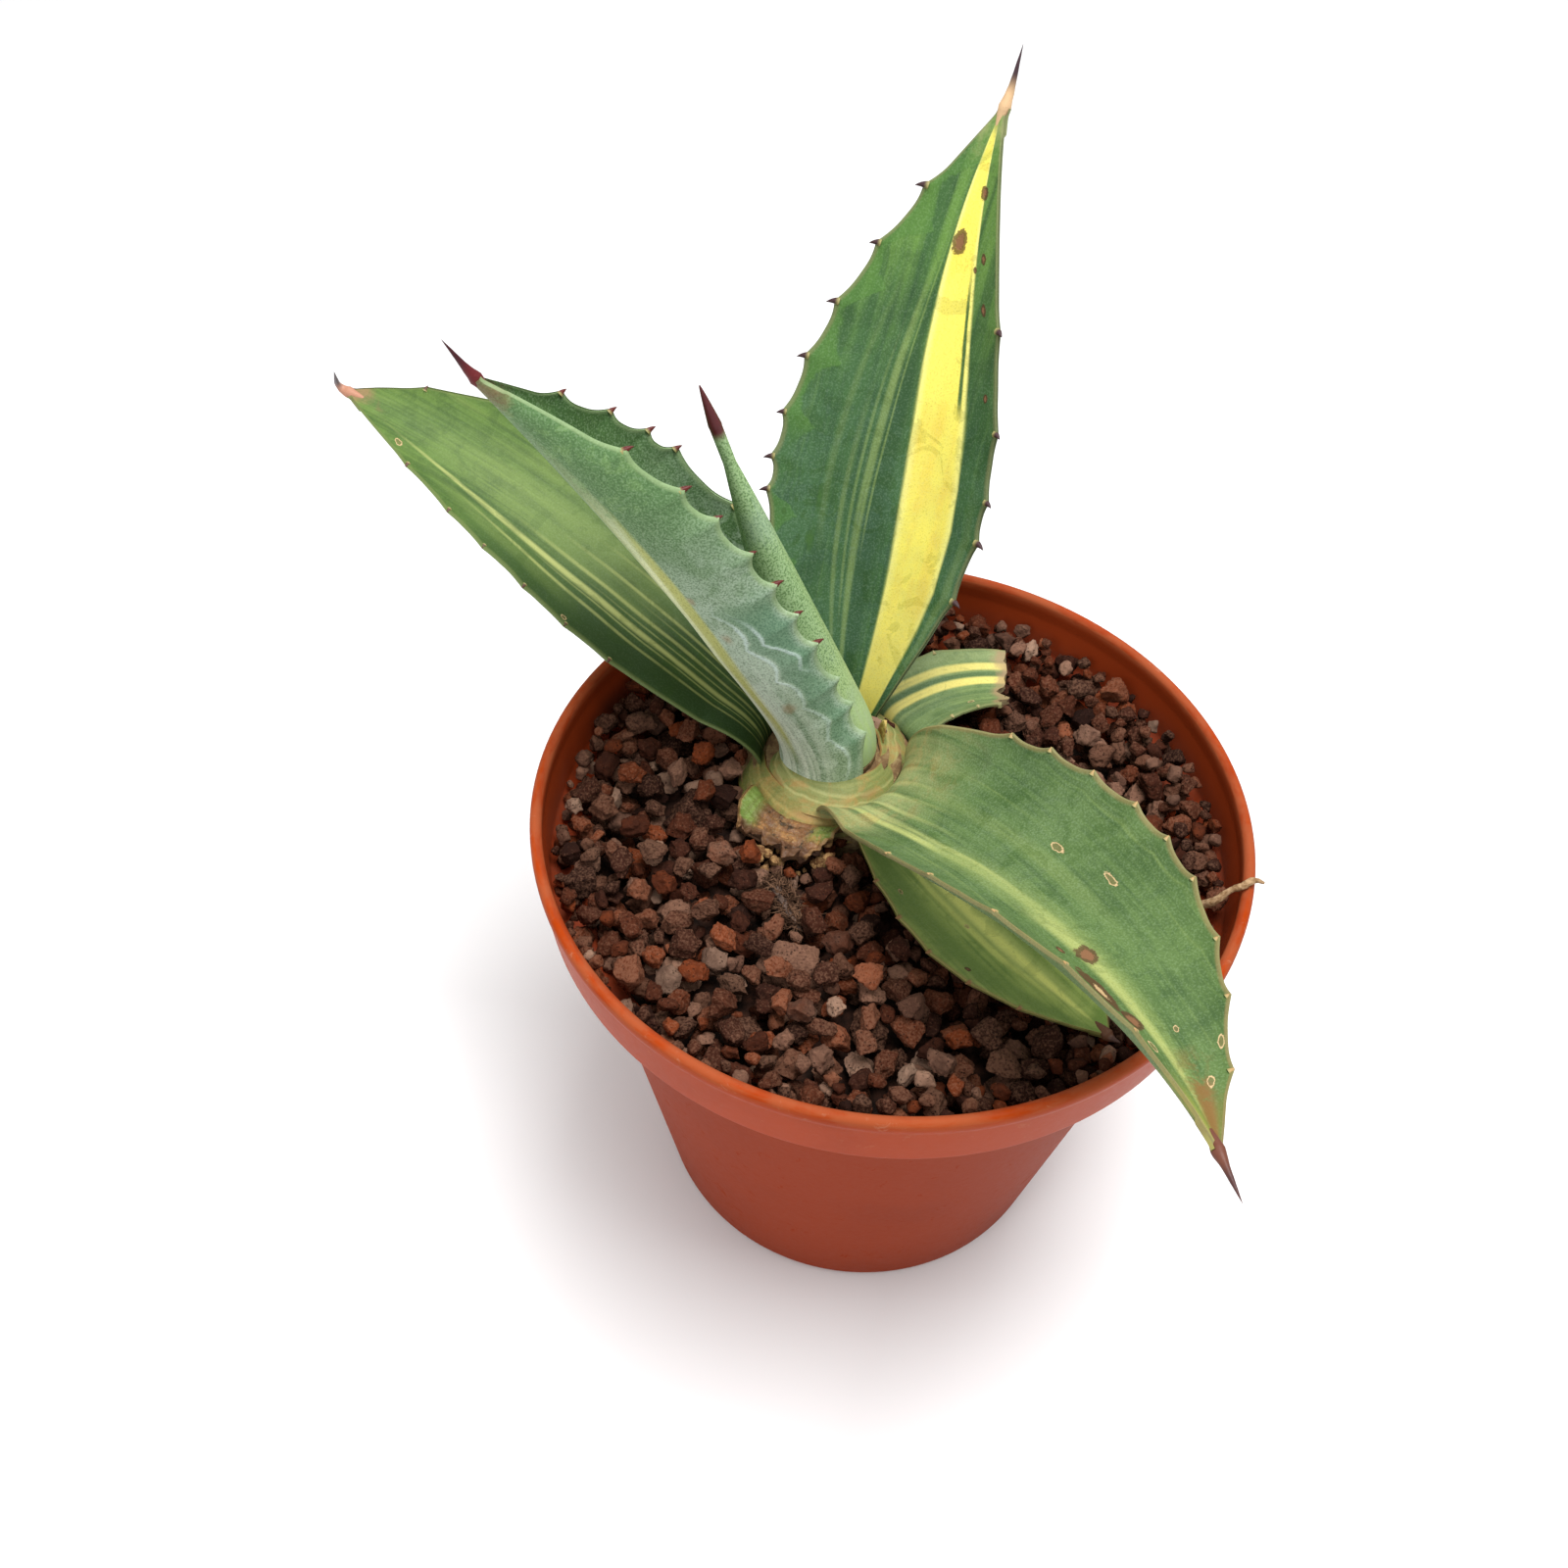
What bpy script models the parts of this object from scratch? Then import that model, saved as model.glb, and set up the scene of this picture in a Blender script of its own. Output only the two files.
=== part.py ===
"""Potted agave: a plastic nursery pot, a gravel bed and a small striped agave.

Units are metres, +Z is up.  The origin is the middle of the pot's foot, on the ground.
Run with: blender --background --python part.py
"""
import math
import random

import bpy
import bmesh
from mathutils import Matrix, Vector

MM = 0.001
PART_NAME = "potted_agave"
CUTTERS_NAME = "cutters"
FIT_GAP = 0.3 * MM            # clearance between two pieces that touch
WALL_GAP = 1.2 * FIT_GAP      # level clearance along the pot's slanted wall

# Pot
POT_HEIGHT = 105 * MM
POT_RIM_RADIUS = 65 * MM      # outer radius at the lip
POT_BASE_RADIUS = 42 * MM     # outer radius at the foot
POT_WALL = 1.5 * MM
LIP_THICKNESS = 2.2 * MM
BAND_HEIGHT = 14.5 * MM       # the near-vertical band below the lip
BAND_DRAFT = 1.6 * MM         # radius the band loses from top to bottom
SHOULDER_STEP = 6 * MM        # step in from the band to the body
FOOT_HEIGHT = 3.2 * MM        # drain channel above the ground
FOOT_WIDTH = 3.5 * MM
CENTRE_PAD_RADIUS = 16 * MM
FLOOR_BEVEL = 1.5 * MM        # bevel between floor and wall, inside
LEDGE_ROUND = 1 * MM          # rounding of the inner ledge under the band
DRAIN_COUNT = 8
DRAIN_RADIUS = 3.5 * MM
DRAIN_CIRCLE_RADIUS = 27.5 * MM
POT_SEGMENTS = 44

# Growing mix
MIX_DEPTH_BELOW_LIP = 15 * MM
MIX_CROWN = 1.2 * MM          # the bed stands a little higher round the plant
CROWN_KNOTS = ((0.0, 1.0), (0.4, 0.8), (0.75, 0.3), (1.0, 0.0))   # share of rim, of crown

# Plant axis on the bed, and its stem with roots
STEM_X = -10.5 * MM
STEM_Y = 18 * MM
STEM_RISE = 4.5 * MM          # top of the outermost seat above the bed
STEM_DEPTH = 34 * MM          # stem and root crown below the bed
STEM_SEGMENTS = 24
STEM_FLARE = 0.5 * MM         # the stem widens this much just under the bed's top
FLARE_DEPTH = 2 * MM
CROWN_STEPS = ((0.86, 0.22), (0.62, 0.45), (0.42, 0.72), (0.2, 1.0))   # share of width, depth
ROOT_COUNT = 5
ROOT_LENGTH = 36 * MM
ROOT_RADIUS = 2.2 * MM
ROOT_START = 4 * MM           # a root starts this far from the stem's axis
ROOT_START_DEPTH = 0.3        # share of the stem's depth
ROOT_WALL_GAP = 5 * MM        # and its tip stays this far from the wall
ROOT_DROP = 48                # degrees below level
ROOT_SIDES = 6

# Rings of clasping leaf bases round the stem: inner radius and height of each seat
# above the outermost seat.
BASE_THICKNESS = 1.9 * MM
SPIKE_RADIUS = 8.0 * MM
FIRST_RING = SPIKE_RADIUS + 2 * FIT_GAP
SECOND_RING = FIRST_RING + BASE_THICKNESS + 2 * FIT_GAP
THIRD_RING = SECOND_RING + BASE_THICKNESS + 2 * FIT_GAP
OUTER_RING = THIRD_RING + BASE_THICKNESS + 2 * FIT_GAP
SEAT_STEP = 1.5 * MM

BLADE_THICKNESS = 1.8 * MM    # middle of a blade at half length
EDGE_THICKNESS = 0.7 * MM
TOOTH_HEIGHT = 1.5 * MM
TOOTH_WIDTH = 2.4 * MM
SPINE_RADIUS = 1.1 * MM
SPINE_TIP_RADIUS = 0.2 * MM
LIP_CLEARANCE = 1.2 * MM      # a leaf that passes over the lip keeps this much above it

# Every leaf: heading and swing turn it in plan, rise, bend and curl set its slope,
# roll and twist turn the blade about its own line, and spine_lift bends its end spine
# up.  All angles are degrees.
# base is its width along its ring, which sets the half angle of its channel there, and
# open is that angle at the tip; closing is how fast the one turns into the other.
# wide is where the leaf is widest, and swell how late the base widens.
# left and right list the teeth along each margin, as shares of the length.
LEAVES = {
    "leaf_left": dict(
        ring=THIRD_RING, seat=1, length=105 * MM, width=36.5 * MM, heading=150, swing=11,
        rise=40, bend=-28, curl=0, roll=-20, twist=0, wide=0.39, taper=0.88,
        base=18.5 * MM, open=25, closing=1.0, sheath=14 * MM, swell=1.0,
        spine=7 * MM, spine_lift=62, cut=None,
        left=(0.33, 0.43, 0.53, 0.63, 0.72, 0.83), right=(0.40, 0.55, 0.68, 0.88)),
    "leaf_inner_left": dict(
        ring=FIRST_RING, seat=3, length=99 * MM, width=43 * MM, heading=184, swing=3,
        rise=62, bend=-7, curl=0, roll=5, twist=23, wide=0.53, taper=1.0,
        base=36.6 * MM, open=68, closing=1.2, sheath=14 * MM, swell=1.2,
        spine=8 * MM, spine_lift=4, cut=None,
        left=(0.30, 0.38, 0.46, 0.54, 0.63, 0.70, 0.80), right=(0.45, 0.60, 0.66, 0.74, 0.84)),
    "leaf_back": dict(
        ring=SECOND_RING, seat=2, length=113 * MM, width=42 * MM, heading=81, swing=-28,
        rise=62, bend=0, curl=0, roll=-1, twist=-9, wide=0.42, taper=1.06,
        base=11.6 * MM, open=30, closing=1.0, sheath=14 * MM, swell=1.1,
        spine=10 * MM, spine_lift=10, cut=None,
        left=(0.36, 0.41, 0.48, 0.57, 0.66, 0.76, 0.86), right=(0.26, 0.37, 0.44, 0.55, 0.70)),
    "leaf_front": dict(
        ring=THIRD_RING, seat=1, length=110 * MM, width=40.5 * MM, heading=-52, swing=-22,
        rise=33, bend=-24, curl=-9, roll=30, twist=-62, wide=0.50, taper=1.0,
        base=23.7 * MM, open=48, closing=1.0, sheath=14 * MM, swell=1.2,
        spine=8 * MM, spine_lift=0, cut=None,
        left=(0.26, 0.33, 0.41, 0.49, 0.56, 0.63, 0.72, 0.80, 0.90),
        right=(0.35, 0.48, 0.62, 0.74, 0.85)),
    "leaf_lower_front": dict(
        ring=OUTER_RING, seat=0, length=67 * MM, width=28 * MM, heading=-54, swing=6,
        rise=2, bend=-3, curl=0, roll=2, twist=0, wide=0.50, taper=0.9,
        base=13.5 * MM, open=20, closing=1.0, sheath=5 * MM, swell=1.0,
        spine=3 * MM, spine_lift=30, cut=None,
        left=(0.30, 0.50, 0.70), right=(0.24, 0.38, 0.52, 0.66, 0.80)),
    "leaf_cut_right": dict(
        ring=OUTER_RING, seat=0, length=24 * MM, width=19 * MM, heading=42, swing=-48,
        rise=16, bend=-10, curl=0, roll=-6, twist=0, wide=0.60, taper=0.6,
        base=19.1 * MM, open=38, closing=1.0, sheath=5 * MM, swell=1.0,
        spine=0, spine_lift=0, cut=17 * MM,
        left=(0.55,), right=(0.45, 0.75)),
    "leaf_stub_dead": dict(
        ring=OUTER_RING, seat=0, length=9 * MM, width=19 * MM, heading=-117, swing=0,
        rise=4, bend=-12, curl=0, roll=0, twist=0, wide=0.50, taper=0.5,
        base=20.2 * MM, open=22, closing=1.0, sheath=4 * MM, swell=1.0,
        spine=0, spine_lift=0, cut=14 * MM,
        left=(), right=()),
}
FACET = 33                    # most degrees of channel that one face across a blade covers
ALONG = 18                    # plain stations along a blade

# Rolled leaves in the middle
SPIKE_LENGTH = 72 * MM
SPIKE_HEADING = 166
SPIKE_RISE = 70
SPIKE_SHEATH = 8 * MM
SPIKE_SPINE = 8 * MM
SPIKE_TAPER = 0.85
SPIKE_SIDES = 14

# Larger stones lying on the bed: bearing from the stem in degrees, share of the way
# from the stem to the wall, length, and name of the colour.
STONES = (
    (205, 0.30, 10.5, "umber"), (262, 0.60, 12.0, "taupe"), (188, 0.62, 6.5, "pale"),
    (206, 0.66, 7.0, "pale"), (222, 0.50, 6.0, "pale"), (215, 0.86, 7.5, "rust"),
    (232, 0.72, 7.0, "taupe"), (240, 0.44, 6.0, "rust"), (243, 0.90, 8.0, "pale"),
    (252, 0.78, 6.5, "pale"), (257, 0.97, 7.0, "umber"), (266, 0.88, 6.5, "rust"),
    (277, 0.78, 8.5, "umber"), (275, 0.95, 6.5, "pale"), (285, 0.92, 6.0, "pale"),
    (287, 0.72, 7.5, "taupe"), (292, 0.55, 6.0, "rust"), (296, 0.90, 7.0, "umber"),
    (350, 0.62, 6.5, "pale"), (2, 0.80, 7.0, "umber"), (345, 0.86, 7.5, "rust"),
    (20, 0.72, 6.5, "taupe"), (55, 0.60, 7.5, "umber"), (100, 0.55, 7.0, "rust"),
    (135, 0.60, 6.5, "taupe"), (170, 0.75, 7.5, "umber"),
)
STONE_FLATNESS = 0.72
STONE_ROUGHNESS = 0.13
STONE_ZONE_START = 23 * MM    # stones start this far from the stem's axis
STONE_WALL_GAP = 6 * MM       # and their middles stop this far from the wall

# Dry straw on the lip, dried tuft on the bed, small bract at the heart
STRAW_RADIUS = 0.7 * MM
STRAW_BEARING = -13
STRAW_INSIDE = 13 * MM        # how far its low end lies inside the lip
STRAW_OUTSIDE = 1.2 * MM      # how far its tip sticks out past the lip
TUFT_LENGTH = 15 * MM
TUFT_WIDTH = 4.5 * MM
TUFT_BEARING = 257
TUFT_SHARE = 0.28
BRACT_LENGTH = 5 * MM
BRACT_WIDTH = 3 * MM
BRACT_HEADING = 20

# Colours: (red, green, blue), roughness
COLOURS = {
    "pot": ((0.44, 0.11, 0.05), 0.38), "mix": ((0.10, 0.04, 0.03), 0.95),
    "stem": ((0.32, 0.22, 0.12), 0.85), "left": ((0.22, 0.33, 0.10), 0.5),
    "inner": ((0.21, 0.34, 0.24), 0.6), "back": ((0.10, 0.25, 0.12), 0.5),
    "front": ((0.16, 0.28, 0.12), 0.5), "lower": ((0.22, 0.32, 0.12), 0.5),
    "cut": ((0.35, 0.40, 0.16), 0.5), "dead": ((0.25, 0.15, 0.07), 0.9),
    "spike": ((0.24, 0.38, 0.20), 0.6), "umber": ((0.10, 0.045, 0.035), 0.95),
    "rust": ((0.26, 0.09, 0.05), 0.95), "taupe": ((0.22, 0.15, 0.12), 0.95),
    "pale": ((0.40, 0.27, 0.23), 0.95), "straw": ((0.45, 0.30, 0.14), 0.8),
    "tuft": ((0.20, 0.14, 0.10), 0.95), "bract": ((0.45, 0.30, 0.10), 0.6),
}
LEAF_COLOURS = {
    "leaf_left": "left", "leaf_inner_left": "inner", "leaf_back": "back",
    "leaf_front": "front", "leaf_lower_front": "lower", "leaf_cut_right": "cut",
    "leaf_stub_dead": "dead",
}

# Heights that follow from the sizes above
MIX_TOP = POT_HEIGHT - MIX_DEPTH_BELOW_LIP
OUTER_SEAT = MIX_TOP + STEM_RISE
POT_FLOOR = FOOT_HEIGHT + POT_WALL
BAND_BOTTOM = POT_HEIGHT - BAND_HEIGHT
BODY_TOP_RADIUS = POT_RIM_RADIUS - BAND_DRAFT - SHOULDER_STEP


def clear_scene():
    for item in list(bpy.data.objects):
        bpy.data.objects.remove(item)


def new_collection(name, hidden=False):
    group = bpy.data.collections.new(name)
    bpy.context.scene.collection.children.link(group)
    group.hide_render = hidden
    return group


def material(name):
    colour, roughness = COLOURS[name]
    made = bpy.data.materials.get(name) or bpy.data.materials.new(name)
    made.use_nodes = True
    shader = made.node_tree.nodes["Principled BSDF"]
    shader.inputs["Base Color"].default_value = (*colour, 1.0)
    shader.inputs["Roughness"].default_value = roughness
    shader.inputs["Metallic"].default_value = 0.0
    made.diffuse_color = (*colour, 1.0)
    return made


def add_object(name, mesh, group, colour=None, smooth_angle=40):
    item = bpy.data.objects.new(name, mesh)
    group.objects.link(item)
    if colour:
        mesh.materials.append(material(colour))
        mesh.shade_smooth()
        mesh.set_sharp_from_angle(angle=math.radians(smooth_angle))
    return item


def mesh_from_rings(name, rings):
    """Close a row of equal rings of points into one solid, with a flat cap at each end."""
    shape = bmesh.new()
    rows = [[shape.verts.new(point) for point in ring] for ring in rings]
    count = len(rows[0])
    for low, high in zip(rows, rows[1:]):
        for index in range(count):
            after = (index + 1) % count
            shape.faces.new((low[index], low[after], high[after], high[index]))
    shape.faces.new(list(reversed(rows[0])))
    shape.faces.new(rows[-1])
    bmesh.ops.triangulate(shape, faces=shape.faces[:])
    bmesh.ops.recalc_face_normals(shape, faces=shape.faces[:])
    mesh = bpy.data.meshes.new(name)
    shape.to_mesh(mesh)
    shape.free()
    return mesh


def turned(name, profile, segments, group, colour=None):
    """Turn a profile of (radius, height) points round the Z axis."""
    mesh = bpy.data.meshes.new(name)
    points = [(radius, 0.0, height) for radius, height in profile]
    edges = [(index, index + 1) for index in range(len(points) - 1)]
    mesh.from_pydata(points, edges, [])
    item = add_object(name, mesh, group, colour)
    screw = item.modifiers.new("turn", "SCREW")
    screw.steps = segments
    screw.render_steps = segments
    screw.use_merge_vertices = True
    screw.merge_threshold = 0.01 * MM
    screw.use_smooth_shade = True
    return item


def cut_with(item, cutter, operation="DIFFERENCE"):
    cutter.hide_render = True
    cutter.display_type = "WIRE"
    cut = item.modifiers.new(operation.lower() + "_" + cutter.name, "BOOLEAN")
    cut.operation = operation
    cut.object = cutter
    cut.solver = "EXACT"


# ---------------------------------------------------------------- pot

def pot_outer_radius(height):
    """Outer radius of the pot's body below the band."""
    share = height / BAND_BOTTOM
    return POT_BASE_RADIUS + (BODY_TOP_RADIUS - POT_BASE_RADIUS) * share


def body_inner_radius(height):
    """Inner radius of the pot's body, from its floor up to the ledge under the band."""
    return pot_outer_radius(height) - POT_WALL


def pot_inner_radius(height):
    """Inner radius of the pot at any height above its floor."""
    if height < BAND_BOTTOM:
        return body_inner_radius(height)
    share = (height - BAND_BOTTOM) / BAND_HEIGHT
    return POT_RIM_RADIUS - POT_WALL - BAND_DRAFT * (1 - share)


def build_pot(parts, cutters):
    lip_round = LIP_THICKNESS / 2
    lip_middle = POT_RIM_RADIUS - lip_round
    inside_band = pot_inner_radius(POT_HEIGHT - 2 * LIP_THICKNESS)
    ledge_top = BAND_BOTTOM + POT_WALL
    body_end = ledge_top - LEDGE_ROUND
    profile = [(0.0, POT_WALL), (CENTRE_PAD_RADIUS - POT_WALL, POT_WALL),
               (CENTRE_PAD_RADIUS + FOOT_HEIGHT, POT_FLOOR),
               (POT_BASE_RADIUS - POT_WALL - FLOOR_BEVEL, POT_FLOOR),
               (body_inner_radius(POT_FLOOR + FLOOR_BEVEL), POT_FLOOR + FLOOR_BEVEL),
               (body_inner_radius(body_end), body_end),
               (body_inner_radius(body_end) + LEDGE_ROUND, ledge_top),
               (pot_inner_radius(ledge_top) - LEDGE_ROUND, ledge_top),
               (pot_inner_radius(ledge_top), ledge_top + LEDGE_ROUND),
               (inside_band, POT_HEIGHT - 2 * LIP_THICKNESS),
               (POT_RIM_RADIUS - LIP_THICKNESS, POT_HEIGHT - LIP_THICKNESS)]
    for step in range(1, 6):
        angle = math.radians(180 - 180 * step / 6)
        profile.append((lip_middle + lip_round * math.cos(angle),
                        POT_HEIGHT - lip_round + lip_round * math.sin(angle)))
    profile += [(POT_RIM_RADIUS, POT_HEIGHT - LIP_THICKNESS),
                (POT_RIM_RADIUS - 0.5 * MM, POT_HEIGHT - 1.6 * LIP_THICKNESS),
                (POT_RIM_RADIUS - BAND_DRAFT, BAND_BOTTOM + 0.8 * MM),
                (POT_RIM_RADIUS - BAND_DRAFT - 0.8 * MM, BAND_BOTTOM),
                (BODY_TOP_RADIUS + 1 * MM, BAND_BOTTOM),
                (BODY_TOP_RADIUS, BAND_BOTTOM - 1 * MM),
                (pot_outer_radius(2 * MM), 2 * MM),
                (POT_BASE_RADIUS - 0.8 * MM, 0.0),
                (POT_BASE_RADIUS - FOOT_WIDTH, 0.0),
                (POT_BASE_RADIUS - FOOT_WIDTH - 1 * MM, FOOT_HEIGHT),
                (CENTRE_PAD_RADIUS + FOOT_HEIGHT - POT_WALL * 0.4, FOOT_HEIGHT),
                (CENTRE_PAD_RADIUS - POT_WALL * 0.4, 0.0), (0.0, 0.0)]
    pot = turned("pot", profile, POT_SEGMENTS, parts, "pot")
    for index in range(DRAIN_COUNT):
        angle = 2 * math.pi * (index + 0.5) / DRAIN_COUNT
        shape = bmesh.new()
        place = Matrix.Translation((DRAIN_CIRCLE_RADIUS * math.cos(angle),
                                    DRAIN_CIRCLE_RADIUS * math.sin(angle), FOOT_HEIGHT))
        bmesh.ops.create_cone(shape, cap_ends=True, segments=12, radius1=DRAIN_RADIUS,
                              radius2=DRAIN_RADIUS, depth=6 * POT_WALL, matrix=place)
        mesh = bpy.data.meshes.new("drain_%d" % index)
        shape.to_mesh(mesh)
        shape.free()
        cut_with(pot, add_object("drain_%d" % index, mesh, cutters))
    return pot


# ---------------------------------------------------------------- stem and roots

def stem_profile(grow):
    """Stepped stem from its top down; grow makes the slightly larger root cavity."""
    spike_seat = OUTER_SEAT + 4 * SEAT_STEP
    steps = [(OUTER_RING + BASE_THICKNESS, OUTER_SEAT),
             (OUTER_RING - 2 * FIT_GAP, OUTER_SEAT + SEAT_STEP),
             (THIRD_RING - 2 * FIT_GAP, OUTER_SEAT + 2 * SEAT_STEP),
             (SECOND_RING - 2 * FIT_GAP, OUTER_SEAT + 3 * SEAT_STEP),
             (SPIKE_RADIUS, spike_seat)]
    bottom = MIX_TOP - STEM_DEPTH
    outline = [(0.0, spike_seat - FIT_GAP)]
    for index in range(len(steps) - 1, 0, -1):
        radius, height = steps[index]
        lower = steps[index - 1][1]
        outline += [(radius, height - FIT_GAP), (radius, lower - FIT_GAP)]
    collar = steps[0][0]
    outline.append((collar, OUTER_SEAT - FIT_GAP))
    if grow:
        outline = [(0.0, spike_seat), (collar + STEM_FLARE, spike_seat)]
    outline.append((collar + STEM_FLARE, MIX_TOP - FLARE_DEPTH))
    outline += [(collar * wide, MIX_TOP - STEM_DEPTH * deep) for wide, deep in CROWN_STEPS]
    if grow:
        outline = [(radius + grow * (radius > 0), height) for radius, height in outline]
        bottom -= grow
    outline.append((0.0, bottom))
    return outline


def root_mesh(name, index, grow):
    """One tapering root that leaves the stem and dips into the mix."""
    turn = 2 * math.pi * index / ROOT_COUNT + 0.6
    drop = math.radians(ROOT_DROP)
    start_height = MIX_TOP - ROOT_START_DEPTH * STEM_DEPTH
    depth = MIX_TOP - start_height + ROOT_LENGTH * math.sin(drop)
    room = wall_distance(turn, MIX_TOP - depth) - ROOT_WALL_GAP - ROOT_START
    root_length = min(ROOT_LENGTH, room / math.cos(drop))
    out = Vector((math.cos(turn), math.sin(turn), 0))
    side = Vector((-math.sin(turn), math.cos(turn), 0))
    start = Vector((STEM_X, STEM_Y, start_height)) + out * ROOT_START
    rings = []
    stations = 7
    for station in range(stations):
        share = station / (stations - 1)
        length = (root_length + grow) * share
        dip = drop * (0.55 + 0.45 * share)
        sway = 3 * MM * math.sin(2.6 * share * math.pi + index)
        along = out * math.cos(dip) + Vector((0, 0, -1)) * math.sin(dip)
        up = side.cross(along)
        middle = start + along * length + side * sway * share
        radius = ROOT_RADIUS * (1 - 0.72 * share) + grow
        ring = []
        for corner in range(ROOT_SIDES):
            angle = 2 * math.pi * corner / ROOT_SIDES
            ring.append(middle + (side * math.cos(angle) + up * math.sin(angle)) * radius)
        rings.append(ring)
    return mesh_from_rings(name, rings)


def build_stem(name, parts, cutters, grow=0.0, colour=None):
    stem = turned(name, stem_profile(grow), STEM_SEGMENTS, parts, colour)
    stem.location = (STEM_X, STEM_Y, 0)
    for index in range(ROOT_COUNT):
        label = "%s_root_%d" % (name, index)
        root = add_object(label, root_mesh(label, index, grow), cutters)
        cut_with(stem, root, "UNION")
    return stem


def build_mix(parts, cutters):
    """The bed follows the pot's inside and has a cavity for the stem and roots."""
    low = POT_FLOOR + FIT_GAP
    bevel_end = low + FLOOR_BEVEL + FIT_GAP
    profile = [(reach * POT_RIM_RADIUS, MIX_TOP + crown * MIX_CROWN)
               for reach, crown in CROWN_KNOTS[:-1]]
    edge = min(MIX_TOP, BAND_BOTTOM)
    profile += [(body_inner_radius(edge) - WALL_GAP, edge),
                (body_inner_radius(bevel_end) - WALL_GAP, bevel_end),
                (POT_BASE_RADIUS - POT_WALL - FLOOR_BEVEL - WALL_GAP, low), (0.0, low)]
    mix = turned("growing_mix", profile, POT_SEGMENTS, parts, "mix")
    cavity = build_stem("root_cavity", cutters, cutters, grow=FIT_GAP)
    cut_with(mix, cavity)
    return mix


# ---------------------------------------------------------------- leaves

def smooth_share(value):
    return max(0.0, min(1.0, value))


def leaf_frame(leaf, share, rise_extra=0.0):
    """Direction, sideways and upper-face directions of a leaf's line at a share of it."""
    start = (1 - smooth_share(share * leaf["length"] / leaf["sheath"])) ** 2
    slope = leaf["rise"] + rise_extra + leaf["bend"] * share + leaf["curl"] * share ** 2
    slope = math.radians(slope * (1 - start) + 90 * start)
    turn = math.radians(leaf["heading"] + leaf["swing"] * share)
    along = Vector((math.cos(slope) * math.cos(turn), math.cos(slope) * math.sin(turn),
                    math.sin(slope)))
    level = Vector((-math.sin(turn), math.cos(turn), 0.0))
    upper = along.cross(level)
    tilt = leaf["roll"] + leaf["twist"] * share
    tilt = math.radians(tilt * smooth_share(share * leaf["length"] / leaf["sheath"]))
    side = level * math.cos(tilt) + upper * math.sin(tilt)
    return along, side, along.cross(side)


def leaf_line(leaf, shares, rise_extra=0.0):
    """Points of a leaf's middle line at the given shares of its length."""
    turn = math.radians(leaf["heading"])
    seat = OUTER_SEAT + leaf["seat"] * SEAT_STEP
    point = Vector((STEM_X + leaf["ring"] * math.cos(turn),
                    STEM_Y + leaf["ring"] * math.sin(turn), seat))
    steps = 160
    line = [point.copy()]
    for step in range(steps):
        along, _, _ = leaf_frame(leaf, (step + 0.5) / steps, rise_extra)
        point = point + along * (leaf["length"] / steps)
        line.append(point.copy())
    found = []
    for share in shares:
        place = smooth_share(share) * steps
        index = min(int(place), steps - 1)
        found.append(line[index].lerp(line[index + 1], place - index))
    return found


def clasp_angle(leaf):
    """Half of the angle that a leaf's base takes up on its ring, in degrees."""
    return math.degrees(leaf["base"] / 2 / leaf["ring"])


def leaf_half_width(leaf, share):
    base = leaf["base"] / 2
    full = leaf["width"] / 2
    if share < leaf["wide"]:
        grown = math.sin(math.pi / 2 * share / leaf["wide"]) ** leaf["swell"]
        return base + (full - base) * grown
    past = (share - leaf["wide"]) / (1 - leaf["wide"])
    if leaf["cut"]:
        return full + (leaf["cut"] / 2 - full) * past
    return max(full * math.cos(math.pi / 2 * past) ** leaf["taper"], SPINE_RADIUS)


def tooth_height(teeth, share, length):
    height = 0.0
    for tooth in teeth:
        reach = 1 - abs(share - tooth) * length / (TOOTH_WIDTH / 2)
        height = max(height, TOOTH_HEIGHT * reach)
    return height


def leaf_stations(leaf):
    """Plain stations, with three more for each tooth."""
    shares = [index / ALONG for index in range(ALONG + 1)]
    half = TOOTH_WIDTH / 2 / leaf["length"]
    for tooth in leaf["left"] + leaf["right"]:
        shares = [share for share in shares if abs(share - tooth) > 1.6 * half or share in (0, 1)]
        shares += [tooth - half, tooth, tooth + half]
    shares = sorted(shares)
    kept = [shares[0]]
    for share in shares[1:]:
        if share - kept[-1] > 0.25 * half:
            kept.append(share)
    kept[-1] = 1.0
    return kept


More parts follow.
